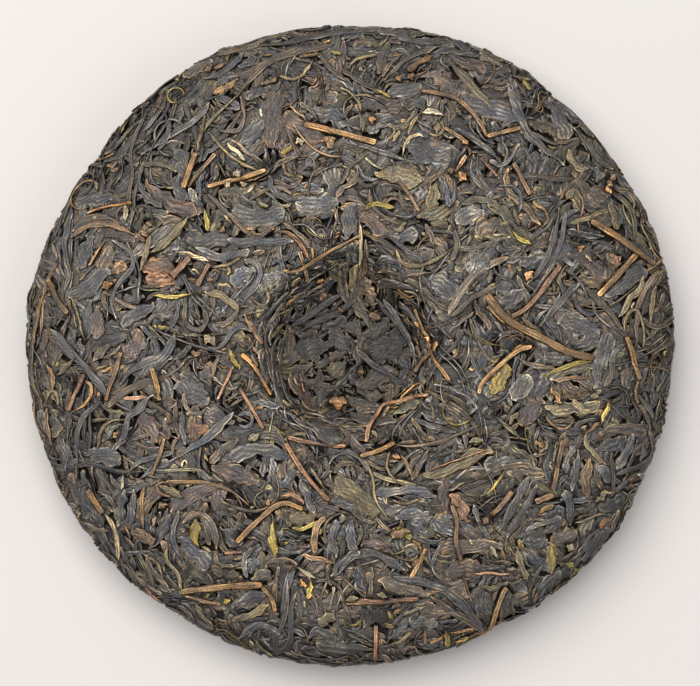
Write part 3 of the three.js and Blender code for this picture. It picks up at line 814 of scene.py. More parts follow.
# The pieces seen in the photograph. Under each sort and colour, a piece is its width in
# millimetres and its route over the photograph, as x and y of its points in pixels.
PLACED = {
    ("crumb", "orange"): (
        (3, 526, 279, 532, 271), (2, 578, 248, 584, 248), (2, 608, 181, 612, 186),
        (2.4, 397, 80, 401, 76), (1.4, 463, 141, 468, 144), (2, 369, 120, 376, 118),
        (2.4, 102, 287, 112, 283), (2.6, 459, 172, 466, 180), (2.4, 608, 185, 611, 193),
        (2.2, 300, 580, 305, 587), (1.8, 393, 456, 400, 458),
    ),
    ("crumb", "tan"): (
        (2.6, 483, 524, 488, 518), (3.6, 392, 536, 409, 530), (2, 205, 71, 212, 65),
        (4.4, 327, 146, 333, 137), (2.2, 408, 78, 414, 74), (1.8, 346, 57, 350, 60),
        (1.8, 286, 266, 292, 267), (2, 611, 180, 616, 174), (2.4, 158, 507, 167, 504),
    ),
    ("crumb", "olive"): (
        (1.4, 263, 55, 272, 55), (2.2, 566, 563, 574, 567), (2, 573, 574, 580, 568),
        (2, 224, 603, 230, 600),
    ),
    ("crumb", "pale"): (
        (2.4, 233, 175, 240, 171), (1.8, 225, 186, 230, 184), (2.6, 249, 440, 259, 434),
        (2.6, 567, 546, 574, 549),
    ),
    ("crumb", "khaki"): (
        (1.8, 240, 183, 247, 184), (2, 258, 203, 268, 206), (4.2, 205, 342, 214, 337),
        (1.6, 254, 473, 259, 478), (2.4, 591, 396, 599, 396), (2.4, 346, 600, 358, 598),
        (2.2, 377, 594, 387, 597),
    ),
    ("crumb", "russet"): (
        (2.2, 448, 171, 454, 170),
    ),
    ("crumb", "golden"): (
        (2, 113, 437, 117, 433), (2, 285, 570, 292, 566), (2.4, 536, 441, 543, 447),
    ),
    ("stem", "golden"): (
        (1.8, 305, 124, 340, 132, 375, 142), (1.5, 488, 136, 520, 128),
        (2.4, 592, 221, 624, 240, 655, 264), (1.9, 639, 252, 599, 295),
        (2.4, 488, 296, 507, 321, 546, 340, 568, 353, 593, 358), (1.6, 488, 306, 506, 322),
        (1.5, 531, 347, 517, 350, 499, 366, 482, 382, 479, 393),
        (1.9, 627, 337, 634, 356, 640, 379), (2, 182, 592, 220, 587, 261, 585),
        (1.3, 259, 585, 272, 597, 275, 611), (1.8, 237, 542, 258, 520, 282, 500, 302, 509),
        (2, 87, 490, 102, 513), (1.8, 152, 369, 157, 385, 159, 400),
        (2, 183, 187, 189, 170, 195, 153), (1.5, 208, 186, 231, 180, 265, 170),
        (1.2, 284, 271, 297, 272, 312, 262, 328, 252, 345, 244, 360, 236),
        (1.9, 48, 280, 56, 298, 67, 313), (1.6, 490, 630, 496, 610, 506, 588),
        (1.5, 361, 456, 378, 451, 394, 443), (1.2, 300, 57, 317, 54),
        (1, 105, 240, 97, 252, 89, 265), (1.3, 240, 179, 256, 178, 268, 170),
        (1, 312, 248, 314, 262), (1.5, 426, 549, 419, 564, 411, 578),
    ),
    ("stem", "tan"): (
        (1.5, 422, 91, 463, 98, 487, 135), (2.6, 135, 531, 154, 542),
        (1.6, 514, 163, 522, 178, 530, 194), (1.7, 485, 521, 500, 508, 512, 492),
        (1.3, 261, 84, 276, 80), (1.3, 445, 128, 456, 135, 468, 142), (1.5, 456, 171, 466, 156),
        (1.5, 187, 185, 198, 173, 215, 154), (1.4, 300, 252, 304, 266, 308, 281),
        (1.2, 398, 181, 408, 192, 419, 211), (1.2, 638, 382, 635, 392, 638, 403),
        (1.5, 121, 353, 116, 370, 110, 386, 106, 400), (1.2, 164, 439, 160, 456, 151, 475),
        (1.5, 452, 506, 458, 522, 455, 540, 461, 561), (1.6, 563, 441, 558, 464, 553, 490),
        (2, 536, 502, 554, 495),
    ),
    ("stem", "russet"): (
        (1.8, 560, 266, 531, 306, 513, 316), (1.6, 286, 444, 304, 474, 328, 500),
        (1.5, 289, 438, 320, 445, 345, 446), (2, 172, 276, 189, 258),
        (1.7, 347, 603, 382, 602, 418, 599), (1.3, 375, 661, 376, 626),
        (0.7, 430, 470, 456, 460, 486, 450), (1.6, 197, 285, 209, 264),
        (1.6, 68, 410, 75, 393, 83, 375), (1, 233, 367, 226, 382, 218, 399),
        (1.3, 240, 389, 250, 405, 263, 428), (1.2, 225, 553, 242, 552),
    ),
    ("bud", "olive"): (
        (2, 228, 349, 240, 370), (2.8, 275, 520, 270, 535, 276, 557),
        (3.4, 196, 519, 193, 532, 199, 546), (1.4, 152, 295, 174, 298, 197, 292),
        (1.5, 510, 230, 521, 239, 532, 245), (1.8, 522, 80, 532, 90), (1.6, 601, 427, 610, 400),
        (1.2, 329, 51, 341, 54), (1.9, 204, 208, 206, 220, 209, 231), (2, 446, 630, 448, 647),
    ),
    ("bud", "khaki"): (
        (3, 151, 253, 170, 238, 189, 216), (1, 321, 105, 323, 116), (1.8, 360, 112, 363, 132),
        (1.3, 392, 142, 401, 130), (1.4, 96, 181, 97, 191), (1.4, 52, 243, 58, 262),
        (1.8, 393, 227, 398, 232, 406, 222), (2.2, 566, 200, 574, 188),
        (1.6, 514, 208, 516, 217, 520, 225), (1.8, 521, 317, 532, 327, 546, 337),
        (1.9, 57, 376, 66, 366, 76, 358), (1.6, 251, 355, 258, 367),
        (1.3, 219, 355, 214, 370, 211, 382), (1.1, 204, 454, 208, 462),
        (2.8, 157, 485, 170, 490, 182, 498), (1.3, 310, 467, 318, 480, 328, 494),
        (2, 469, 443, 476, 439, 484, 441), (2, 508, 426, 513, 418, 519, 412),
        (1.4, 494, 416, 508, 427, 520, 438), (2, 540, 453, 549, 439), (1.8, 595, 501, 611, 491),
        (1.8, 491, 545, 497, 559),
    ),
    ("bud", "pale"): (
        (2, 422, 113, 432, 110, 445, 116), (1.6, 226, 141, 234, 150, 246, 161),
        (1.8, 125, 204, 126, 222), (1.4, 405, 160, 402, 150, 407, 139, 416, 134, 425, 138),
        (1, 258, 107, 263, 117), (1.2, 360, 220, 361, 242, 360, 267), (1, 91, 219, 97, 217),
        (0.9, 223, 214, 233, 225), (1, 585, 254, 592, 262), (1.4, 123, 472, 122, 490),
        (1, 199, 546, 213, 552), (1.6, 296, 567, 306, 573, 315, 578), (1, 469, 539, 474, 546),
        (1, 304, 599, 305, 609),
    ),
    ("bud", "orange"): (
        (1.6, 512, 351, 522, 346, 533, 345),
    ),
    ("bud", "golden"): (
        (1.8, 47, 362, 52, 376, 53, 391), (1.4, 77, 466, 76, 481), (1.2, 267, 497, 269, 506),
        (1.8, 551, 384, 554, 393, 561, 404), (1.8, 537, 516, 544, 509, 554, 505),
        (1.6, 382, 624, 395, 627), (1.4, 424, 629, 426, 646),
    ),
    ("thread", "khaki"): (
        (0.9, 243, 383, 238, 394, 224, 402), (1.3, 168, 544, 164, 559, 180, 576, 182, 593),
        (1.2, 205, 115, 199, 144), (1.3, 236, 96, 222, 110, 208, 122, 200, 136, 198, 150),
        (1.2, 280, 76, 290, 80, 302, 76, 308, 67, 313, 60),
        (1.2, 216, 141, 228, 154, 242, 164, 256, 170, 268, 168),
        (1.2, 282, 163, 286, 174, 296, 177), (1.3, 349, 68, 352, 61, 362, 57, 376, 55),
        (1, 340, 87, 350, 92, 358, 100, 362, 112), (1.4, 409, 134, 412, 122, 421, 113),
        (1, 441, 121, 444, 130, 438, 136, 427, 134), (1.1, 72, 298, 78, 315, 80, 330, 86, 340),
        (1, 210, 267, 226, 266, 240, 258),
        (1.4, 396, 250, 400, 262, 409, 266, 421, 266, 436, 260, 452, 249),
        (1, 404, 291, 414, 292, 419, 300, 417, 312),
        (1.2, 624, 332, 626, 318, 633, 308, 641, 313, 645, 330, 643, 348),
        (1.2, 97, 449, 100, 431, 109, 420, 128, 420), (1.2, 47, 402, 49, 391, 57, 391, 58, 405),
        (1, 144, 556, 155, 560, 160, 566, 162, 579), (1, 390, 452, 386, 466, 391, 478, 404, 486),
        (1, 368, 466, 373, 480, 374, 498, 389, 520), (1.4, 404, 615, 415, 610, 426, 606),
        (1.3, 389, 646, 400, 642, 411, 633), (1.3, 254, 639, 262, 650, 273, 656),
    ),
    ("thread", "tan"): (
        (1.6, 170, 496, 155, 491, 156, 484, 168, 481, 224, 484, 248, 505),
        (0.7, 284, 104, 297, 132, 314, 150, 328, 156, 342, 157), (1, 290, 106, 300, 115, 311, 122),
        (0.9, 393, 500, 404, 506, 421, 498),
        (0.8, 543, 413, 552, 425, 562, 430, 570, 427, 574, 419),
        (0.7, 462, 574, 468, 590, 472, 603),
    ),
    ("thread", "golden"): (
        (1.4, 33, 345, 37, 318, 45, 291), (1.4, 533, 201, 545, 210, 550, 219, 542, 227),
        (1.2, 83, 380, 91, 384, 92, 394, 84, 406, 72, 412),
    ),
    ("thread", "russet"): (
        (1, 474, 574, 516, 574),
    ),
    ("thread", "olive"): (
        (1, 374, 89, 383, 92, 391, 98), (1, 487, 495, 498, 482, 505, 470),
    ),
    ("thread", "pale"): (
        (0.8, 365, 158, 375, 166, 384, 169, 385, 161),
        (0.7, 182, 468, 182, 461, 186, 460, 187, 467), (0.6, 273, 412, 271, 424, 269, 437),
    ),
    ("thread", "umber"): (
        (1.2, 267, 292, 270, 300, 264, 307, 251, 299),
        (1.3, 222, 502, 244, 511, 262, 512, 274, 504, 279, 490, 276, 474),
        (1.4, 392, 442, 405, 447, 422, 446, 440, 442, 460, 434, 479, 425),
    ),
    ("strip", "tan"): (
        (2, 70, 237, 84, 226, 102, 224, 118, 227, 135, 234),
        (1.3, 58, 264, 46, 280, 43, 300, 41, 322, 40, 340), (1.5, 556, 381, 574, 378, 590, 377),
        (1.5, 47, 408, 46, 428, 53, 449), (2.2, 244, 315, 250, 324, 256, 334, 263, 343),
        (1.5, 144, 486, 141, 506, 143, 528), (2.2, 313, 553, 314, 536, 323, 516),
        (1.8, 302, 555, 316, 558, 332, 563), (1.4, 400, 452, 408, 466, 413, 477),
    ),
    ("strip", "pale"): (
        (1.5, 176, 252, 190, 254, 208, 261),
    ),
    ("strip", "slate"): (
        (1.6, 112, 240, 132, 252, 134, 268, 118, 282, 110, 300, 116, 318),
        (2.2, 168, 120, 166, 140, 158, 154), (2.6, 170, 460, 196, 447, 218, 428, 232, 412),
        (2.2, 560, 208, 556, 232, 546, 262, 528, 284),
        (1.8, 566, 214, 562, 240, 552, 268, 534, 292), (2.2, 205, 80, 222, 73, 236, 60, 244, 54),
        (2.3, 458, 128, 475, 138, 492, 152, 502, 162),
        (2.2, 72, 214, 66, 230, 63, 248, 68, 268, 67, 284, 62, 297),
        (1.5, 178, 300, 178, 318, 164, 333), (2.2, 139, 180, 146, 198, 161, 208),
        (2, 204, 168, 198, 182, 200, 200), (2.9, 228, 240, 245, 243, 268, 240, 293, 242),
        (2.9, 196, 247, 214, 257, 232, 256, 249, 250),
        (2, 244, 260, 258, 262, 262, 274, 254, 288, 241, 305),
        (2, 268, 176, 272, 190, 284, 198, 300, 201), (1.7, 444, 178, 447, 194, 450, 206),
        (1.4, 455, 180, 455, 195, 450, 207), (2.4, 385, 234, 398, 245, 412, 252, 422, 263),
        (2.6, 375, 264, 388, 258, 401, 267), (3, 378, 282, 398, 286, 417, 291),
        (3.4, 508, 88, 518, 108, 526, 128, 542, 146, 563, 165),
        (1.6, 490, 160, 501, 166, 512, 158, 517, 146),
        (1.6, 500, 186, 514, 186, 523, 196, 519, 212), (2, 551, 246, 555, 228, 564, 215, 577, 210),
        (2.4, 541, 326, 554, 308, 568, 293, 580, 284),
        (3, 50, 330, 66, 349, 84, 366, 97, 380, 106, 395),
        (3.2, 120, 384, 130, 370, 146, 363, 160, 359, 169, 349, 174, 335),
        (1.8, 102, 402, 86, 412, 77, 428, 76, 448, 77, 468),
        (2.4, 153, 395, 138, 408, 128, 420, 119, 441), (2, 127, 475, 136, 462, 152, 458, 173, 452),
        (1.8, 140, 479, 152, 468, 169, 464),
        (1.9, 203, 344, 214, 350, 224, 342, 232, 330, 242, 325, 251, 332),
        (1.4, 238, 415, 249, 412, 254, 420, 248, 428, 239, 425), (3, 124, 490, 121, 506, 118, 523),
        (3, 134, 490, 131, 508, 129, 525), (3, 150, 549, 160, 534, 171, 515),
        (2, 179, 511, 172, 528, 174, 548, 185, 563), (3.4, 295, 471, 282, 488),
        (2.6, 300, 480, 308, 498, 313, 513), (3, 336, 520, 332, 536, 336, 557),
        (3, 352, 520, 350, 538, 354, 553), (2.2, 330, 575, 342, 562, 359, 551),
        (3.6, 374, 492, 396, 493, 418, 489, 437, 495), (1.8, 474, 505, 478, 522, 491, 539),
        (3, 333, 575, 347, 558, 368, 552, 388, 559, 405, 569), (1.6, 447, 539, 436, 552, 431, 567),
        (2.2, 579, 450, 576, 470, 573, 491), (2, 549, 451, 545, 466, 551, 483),
        (3, 529, 477, 522, 494, 508, 514, 499, 531), (2.4, 513, 479, 508, 498, 500, 515),
        (2, 523, 541, 530, 528, 544, 523, 561, 517), (3, 565, 491, 572, 508, 570, 525),
        (3, 394, 577, 420, 580, 444, 590, 466, 606, 483, 631),
        (2.6, 239, 639, 252, 626, 266, 624, 279, 635),
    ),
    ("strip", "moss"): (
        (2, 142, 165, 166, 163, 176, 172), (1.6, 300, 103, 312, 110, 317, 121),
        (2, 462, 204, 480, 198, 500, 206), (2.6, 488, 204, 504, 212, 518, 226, 530, 240),
        (2, 479, 586, 494, 590, 508, 582),
    ),
    ("strip", "umber"): (
        (2, 586, 288, 604, 304, 622, 330), (2.4, 218, 54, 247, 47, 280, 34, 302, 28, 320, 27),
        (2.8, 332, 44, 300, 50, 278, 58, 262, 66, 248, 80, 236, 96),
        (1.8, 316, 50, 323, 60, 333, 70, 345, 80), (1.5, 232, 140, 246, 152, 268, 166),
        (1.8, 258, 180, 270, 170, 282, 160, 299, 156), (1.8, 384, 80, 398, 66, 414, 54, 436, 47),
        (1.5, 382, 76, 391, 62, 402, 54), (1.4, 340, 184, 352, 164, 368, 154),
        (1.6, 208, 194, 222, 208, 236, 222, 248, 234, 258, 237, 270, 229, 283, 220),
        (1.7, 282, 222, 298, 230, 310, 248), (2.2, 367, 240, 364, 262, 360, 281),
        (1.6, 425, 224, 432, 235, 434, 249), (2, 455, 230, 458, 245, 452, 260),
        (1.4, 378, 270, 400, 275, 431, 272), (2, 452, 316, 468, 302, 482, 291, 500, 286),
        (2.6, 92, 362, 100, 352, 110, 344), (1.9, 184, 318, 190, 328, 201, 330, 208, 320, 204, 310),
        (2, 216, 326, 228, 322, 239, 311), (1.6, 183, 394, 186, 410, 196, 414, 206, 409),
        (3, 210, 463, 222, 450, 237, 440), (2.6, 183, 523, 192, 513, 206, 516, 215, 530, 216, 549),
        (2, 146, 558, 154, 574, 171, 591), (1.8, 204, 511, 216, 528, 221, 548, 237, 560),
        (3, 268, 568, 274, 558, 286, 560, 295, 567), (1.6, 611, 455, 615, 475, 612, 496),
        (1.8, 371, 567, 372, 584, 369, 600), (2.4, 431, 597, 450, 610, 470, 622, 485, 633),
    ),
    ("strip", "soot"): (
        (2.2, 256, 47, 290, 41, 320, 36, 356, 31), (3, 446, 39, 458, 43, 470, 50),
        (3, 574, 128, 590, 146, 613, 169),
        (2, 287, 580, 287, 604, 284, 626, 272, 642, 276, 654, 290, 650, 292, 634, 290, 612, 297, 592),
        (2.6, 537, 485, 530, 502, 516, 520, 507, 537),
    ),
    ("strip", "russet"): (
        (1.6, 213, 68, 224, 64), (1.4, 274, 232, 288, 231, 300, 242, 308, 258),
        (1.5, 124, 399, 146, 397), (1.8, 145, 588, 152, 598, 161, 605),
        (2, 281, 496, 292, 494, 304, 504),
    ),
    ("strip", "golden"): (
        (2.6, 214, 92, 226, 88, 237, 78), (2.2, 408, 70, 420, 61, 433, 55),
    ),
    ("strip", "dusk"): (
        (1.7, 240, 97, 244, 110, 244, 124, 236, 132, 222, 131, 210, 124),
        (1.8, 340, 68, 355, 78, 368, 86, 382, 92), (1.4, 467, 143, 460, 156, 455, 168),
        (1.5, 354, 102, 342, 118), (2, 413, 480, 420, 464, 429, 450),
        (1.8, 462, 490, 475, 484, 489, 480),
    ),
    ("strip", "ash"): (
        (3, 378, 30, 396, 33, 412, 40, 440, 43), (1.4, 472, 160, 470, 172, 477, 182, 487, 192),
        (1.6, 522, 140, 527, 154, 533, 164), (1.8, 103, 442, 110, 430, 125, 424),
        (1.8, 111, 450, 122, 442, 131, 427), (1.6, 98, 492, 110, 497, 116, 512, 118, 527),
        (1.8, 248, 578, 242, 566, 246, 554, 255, 548), (2.4, 576, 446, 567, 458, 566, 473),
    ),
    ("strip", "olive"): (
        (1.6, 365, 210, 374, 203, 384, 204, 394, 208),
        (1.6, 541, 379, 558, 369, 576, 363, 592, 361), (1.5, 292, 528, 304, 530, 317, 521),
        (1.8, 311, 582, 308, 599),
    ),
    ("strip", "khaki"): (
        (1.2, 33, 338, 33, 322, 39, 306), (2, 140, 270, 146, 252, 150, 236),
        (2.8, 205, 292, 218, 293, 230, 301, 238, 312), (2.4, 568, 150, 574, 166, 588, 169),
        (2.4, 611, 199, 613, 214, 618, 229), (1.8, 571, 223, 586, 218, 602, 213),
        (2, 620, 317, 628, 302, 639, 290, 645, 276), (1.8, 656, 286, 652, 304, 650, 325),
        (2, 32, 340, 30, 366, 33, 390, 42, 402), (1.6, 102, 512, 112, 524, 118, 540, 118, 561),
        (1.4, 68, 487, 64, 500), (2.4, 573, 400, 582, 410, 591, 413),
        (1.6, 586, 433, 585, 443, 593, 452, 606, 465), (1.6, 565, 432, 560, 446, 553, 461),
        (2.4, 517, 547, 520, 562, 527, 579), (2.4, 233, 622, 250, 614, 269, 606),
        (1.8, 195, 603, 204, 618, 213, 629),
    ),
    ("leaf", "olive"): (
        (4.2, 394, 528, 401, 536, 411, 533), (4.4, 507, 360, 501, 378, 495, 394),
        (3.8, 551, 545, 553, 560, 550, 573),
    ),
    ("leaf", "russet"): (
        (5.5, 143, 263, 158, 268, 178, 270), (4.4, 450, 495, 460, 506, 468, 522),
        (4, 146, 278, 162, 281, 174, 277), (3.8, 614, 253, 618, 267),
        (4.2, 189, 436, 198, 430, 207, 425),
    ),
    ("leaf", "moss"): (
        (2.8, 414, 36, 426, 32, 439, 35), (4, 418, 218, 440, 210, 459, 204),
        (3.8, 531, 123, 544, 126, 552, 133), (3, 550, 378, 572, 370, 592, 367),
        (4, 52, 410, 56, 424, 53, 437), (4.4, 546, 409, 566, 408, 584, 410, 600, 404),
        (4.6, 251, 579, 262, 576, 271, 580),
    ),
    ("leaf", "khaki"): (
        (5.6, 425, 476, 455, 463, 492, 452), (8, 338, 477, 354, 495, 376, 515),
        (3.4, 450, 59, 461, 75, 476, 89, 491, 107), (5.6, 376, 176, 396, 171, 420, 183),
        (4.4, 437, 184, 432, 196, 431, 208), (5.6, 292, 522, 302, 518, 317, 515),
        (3.4, 320, 625, 328, 616, 335, 620),
    ),
    ("leaf", "slate"): (
        (6, 68, 296, 88, 286, 110, 272), (4.4, 76, 205, 92, 197, 112, 199),
        (5.4, 88, 452, 104, 456, 120, 460), (5.5, 130, 372, 150, 364, 172, 358),
        (5, 490, 298, 508, 302, 526, 292), (6, 560, 318, 580, 326, 600, 330),
        (5.4, 596, 388, 599, 360, 611, 334), (4, 218, 80, 228, 76, 238, 74),
        (3, 238, 66, 248, 62, 254, 56), (3.6, 246, 98, 258, 90, 270, 86),
        (5, 240, 142, 252, 134, 262, 120), (5, 388, 92, 404, 90, 421, 85),
        (3.8, 402, 106, 414, 103, 426, 98), (7, 410, 146, 428, 152, 450, 160),
        (3.8, 366, 130, 380, 124), (5.4, 92, 236, 84, 252, 80, 268),
        (5, 122, 326, 136, 312, 154, 304), (4, 160, 254, 170, 246, 180, 238),
        (5, 232, 284, 242, 274, 255, 271), (5, 353, 203, 350, 222, 345, 239),
        (4.8, 394, 237, 406, 236, 417, 232), (6.6, 431, 276, 446, 286, 453, 298),
        (4.8, 606, 296, 624, 282, 647, 270), (5, 546, 361, 562, 353, 578, 357),
        (4.8, 566, 348, 582, 346, 600, 335), (5, 60, 440, 64, 456, 63, 471),
        (7.6, 176, 384, 192, 394, 209, 399), (5.4, 204, 412, 218, 416, 233, 424),
        (4.6, 230, 458, 250, 449, 272, 450, 289, 457), (4, 84, 504, 94, 514, 102, 527),
        (5.6, 181, 536, 194, 552, 209, 567), (4.4, 246, 570, 259, 561),
        (6.4, 218, 530, 228, 536, 241, 545), (6, 397, 520, 412, 512, 427, 522),
        (4.8, 432, 519, 446, 528, 457, 535), (4.8, 597, 452, 612, 444, 627, 439),
        (4, 595, 467, 608, 472, 613, 485), (3.4, 521, 542, 534, 545, 547, 540),
        (3.4, 356, 568, 359, 578, 363, 591), (3.2, 389, 639, 400, 632, 407, 625),
        (4.8, 233, 609, 248, 598, 265, 596),
    ),
    ("leaf", "umber"): (
        (4.2, 600, 433, 620, 428, 646, 432), (5, 110, 246, 106, 258, 100, 273),
        (5, 183, 76, 198, 68, 212, 60), (3, 480, 53, 492, 57, 502, 66),
        (3.4, 387, 42, 383, 57, 378, 73), (3, 72, 230, 82, 221, 100, 217, 118, 222),
        (5.6, 476, 232, 489, 225, 502, 223), (5, 588, 196, 598, 192, 607, 199),
        (4, 52, 336, 58, 348, 54, 365), (3.2, 502, 466, 522, 466, 545, 475),
        (5.6, 551, 541, 562, 540, 577, 532), (4.8, 508, 590, 508, 604, 503, 621),
        (4.8, 379, 580, 404, 590, 429, 594),
    ),
    ("leaf", "dusk"): (
        (4.8, 146, 180, 165, 205, 196, 212), (6, 142, 412, 150, 428, 156, 442),
        (7, 212, 468, 234, 472, 258, 482), (4, 568, 254, 588, 262, 606, 278),
        (8, 274, 92, 270, 118, 272, 147), (6.6, 286, 112, 302, 130, 324, 138),
        (5.5, 428, 72, 444, 80, 460, 94), (3.6, 98, 231, 116, 233, 134, 241),
        (4.8, 97, 306, 98, 322, 94, 338), (4, 180, 204, 190, 207, 199, 214),
        (5.6, 364, 212, 374, 222, 379, 236), (5.6, 126, 358, 134, 344, 142, 332),
        (4.8, 172, 513, 184, 498, 202, 490, 222, 486), (3.6, 444, 477, 443, 494, 446, 513),
        (4, 361, 546, 376, 544, 393, 554), (6.6, 446, 573, 462, 568, 481, 574),
        (5.6, 521, 425, 530, 410, 544, 401), (4.4, 503, 579, 514, 574, 523, 565),
        (6.4, 445, 591, 458, 588, 470, 597),
    ),
    ("leaf", "soot"): (
        (4, 342, 38, 358, 31, 380, 28), (2.6, 440, 52, 455, 50, 477, 56),
        (5.6, 552, 100, 560, 118, 568, 138), (6.4, 482, 591, 484, 608, 489, 625),
        (5, 599, 507, 612, 504, 625, 501), (5.6, 583, 561, 598, 544, 609, 529),
        (4, 361, 607, 366, 616, 368, 627), (3.6, 317, 643, 342, 651, 373, 650),
        (4.2, 296, 583, 302, 600, 298, 621), (3.4, 307, 637, 322, 630, 335, 642),
    ),
    ("leaf", "tan"): (
        (3.8, 110, 272, 118, 266, 126, 268), (3.4, 590, 459, 585, 478, 588, 498),
    ),
    ("leaf", "ash"): (
        (4, 91, 300, 86, 318, 88, 338), (4.4, 262, 285, 271, 278, 281, 277),
        (6, 232, 212, 256, 218, 284, 212), (6.6, 296, 204, 316, 206, 338, 202),
        (6, 456, 221, 470, 214, 484, 212), (5.6, 466, 268, 478, 262, 488, 256),
        (4.8, 520, 262, 532, 262, 545, 254), (6.4, 514, 400, 522, 386, 530, 376),
    ),
}
HOLLOW_PLACED = {
    ("crumb", "orange"): (
        (4.6, 330, 401, 346, 402), (2.2, 359, 372, 364, 372), (1.6, 415, 322, 419, 327),
        (1.6, 425, 337, 429, 342),
    ),
    ("crumb", "tan"): (
        (1.8, 360, 366, 362, 379), (3.6, 370, 314, 380, 318),
    ),
    ("crumb", "russet"): (
        (1.6, 338, 308, 343, 312),
    ),
    ("stem", "russet"): (
        (1.5, 427, 395, 404, 399, 384, 402, 378, 410, 366, 441), (0.9, 300, 374, 304, 392),
    ),
    ("stem", "golden"): (
        (1.3, 415, 310, 422, 332, 433, 358, 449, 380),
    ),
    ("bud", "pale"): (
        (1.4, 392, 403, 404, 402),
    ),
    ("strip", "orange"): (
        (1.6, 286, 306, 297, 296),
    ),
    ("strip", "slate"): (
        (2.2, 356, 350, 372, 364, 392, 378, 410, 386),
        (1.8, 287, 334, 281, 360, 283, 384, 292, 404),
        (2.2, 292, 326, 312, 314, 330, 300, 344, 292), (2, 384, 300, 396, 318, 408, 340, 416, 362),
    ),
    ("strip", "soot"): (
        (2.4, 279, 336, 274, 360, 276, 388, 284, 408),
        (2.2, 296, 334, 316, 320, 340, 312, 356, 300),
        (2.2, 376, 298, 388, 312, 400, 326, 412, 352),
    ),
    ("leaf", "russet"): (
        (3.4, 320, 299, 336, 302),
    ),
    ("leaf", "dusk"): (
        (4, 342, 322, 352, 328, 362, 332), (5, 300, 384, 306, 400, 316, 410),
    ),
    ("leaf", "soot"): (
        (8.6, 366, 352, 386, 348, 408, 340), (7, 296, 350, 310, 348, 324, 344),
        (8, 312, 418, 326, 432, 342, 440), (5.6, 352, 412, 372, 420, 396, 420),
        (5, 330, 330, 344, 344, 352, 352),
    ),
    ("leaf", "moss"): (
        (5.6, 332, 376, 340, 366, 346, 362),
    ),
    ("leaf", "umber"): (
        (6, 356, 384, 380, 376, 398, 372),
    ),
}

# How far the placed pieces rise above the mould. Sorts are laid in this order.
PROUD = {"crumb": 0.4, "stem": 0.4, "bud": 0.35, "thread": 0.3, "strip": 0.2, "leaf": 0.1}

# What is laid at random after them: sort, tries, share that shows, lowest and highest level, size.
LAYERS = (
    ("thread", 200, 0.88, -0.35, 0.0, 1.0),
    ("strip", 440, 0.82, -0.3, 0.15, 1.0),
    ("leaf", 130, 0.65, -0.05, 0.25, 1.0),
    ("thread", 240, 0.7, -0.1, 0.3, 0.9),
    ("strip", 560, 0.6, 0.0, 0.35, 0.85),
    ("shred", 300, 0.7, -0.1, 0.35, 1.0),
    ("leaf", 150, 0.5, 0.1, 0.4, 0.9),
    ("strip", 500, 0.5, 0.05, 0.45, 0.7),
    ("shred", 600, 0.6, -0.05, 0.4, 0.7),
    ("backing", 500, 0.34, 0.1, 0.4, 1.0),
    ("shred", 400, 0.5, 0.05, 0.5, 0.7),
    ("backing", 600, 0.18, 0.15, 0.5, 1.1),
    ("backing", 500, 0.12, 0.2, 0.6, 1.1),
    ("backing", 340, 0.06, 0.2, 0.6, 0.9),
)
LAYER_PARTS = 3

# Where the belly ends, as a share of the section, and how many and how large its pieces are.
BELLY_END = 0.42
BELLY_TRIES = 0.46
BELLY_SIZE = 1.3

# The hollow's own pieces and the loose ones of both faces: sorts with their tries, and for all
# of them the share that shows, the levels, the size and the colours.
HOLLOW_START = 0.915
HOLLOW_ROUNDS = (("leaf", 120), ("shred", 240), ("thread", 60))
HOLLOW_TINTS = ("soot", "dusk", "umber", "moss", "slate", "khaki")
HOLLOW_FORM = (0.35, (0.0, 0.2), 0.7, HOLLOW_TINTS)
LOOSE_ROUNDS = (("stem", 26), ("bud", 30), ("thread", 40), ("crumb", 26), ("shred", 60))
LOOSE_FORM = (0.75, (-0.3, 0.2), 0.8, LOOSE_TINTS)

# How near the outline the pieces stand out of it, and how far.
RAGGED_REACH = 7
RAGGED = (-0.1, 0.3)

BED = Bed()
HEAPS = {name: Heap() for name in TINTS}


def add_to_heaps(rng, batch, kept, depths, names):
    """Puts each kept piece in the heap of its own colour."""
    names = np.array(names)
    for name in sorted(set(names)):
        mine = names == name
        tints = piece_tints(rng, batch, kept[mine], TINTS[name])
        # Painted shade: pieces that lie deep under others are darker.
        tints *= (1 - DEEP_SHADE * smooth(depths[mine], *DEEP))[..., None]
        HEAPS[name].add(batch, kept[mine], depths[mine], tints)


def lay_random(rng, sort, middles, shown, levels, scale, names, weights=None):
    """Lays random pieces of one sort through the middles, in colours drawn from the names."""
    if len(middles) == 0:
        return
    batch = random_batch(rng, sort, middles, scale)
    at = batch.seat[:, len(batch.share) // 2, 0]
    ragged = (sort != "thread") * bump(np.hypot(at[:, 0], at[:, 1]) - RADIUS, RAGGED_REACH)
    level = rng.uniform(*levels, len(batch)) - ragged * rng.uniform(*RAGGED, len(batch))
    kept, depths = BED.lay(batch, shown, level)
    if len(kept):
        add_to_heaps(rng, batch, kept, depths, rng.choice(names, len(kept), p=weights))


def lay_placed(rng, placed, sort):
    """Lays the pieces of one sort whose routes are given on the photograph.

    Each route is smoothed into a curve at even steps and settled on the smooth cake.
    """
    chosen = [
        (tint, width, np.array(route).reshape(-1, 2))
        for (kind, tint), rows in placed.items() if kind == sort
        for width, *route in rows
    ]
    if not chosen:
        return
    names, widths, routes = zip(*chosen)
    steps = 2 * SORTS[sort]["rings"] - 1
    at, out, _ = settle(np.stack([evened(from_photo(route), steps) for route in routes]))
    along = np.gradient(at, axis=1)
    along = unit(along - out * (along * out).sum(-1, keepdims=True))
    length = np.linalg.norm(np.diff(at, axis=1), axis=-1).sum(1)
    batch = Batch(rng, sort, (at, out, along), length, np.array(widths))
    level = -PROUD[sort] * rng.uniform(0.4, 1.2, len(batch))
    kept, depths = BED.lay(batch, 0.0, level)
    add_to_heaps(rng, batch, kept, depths, names)


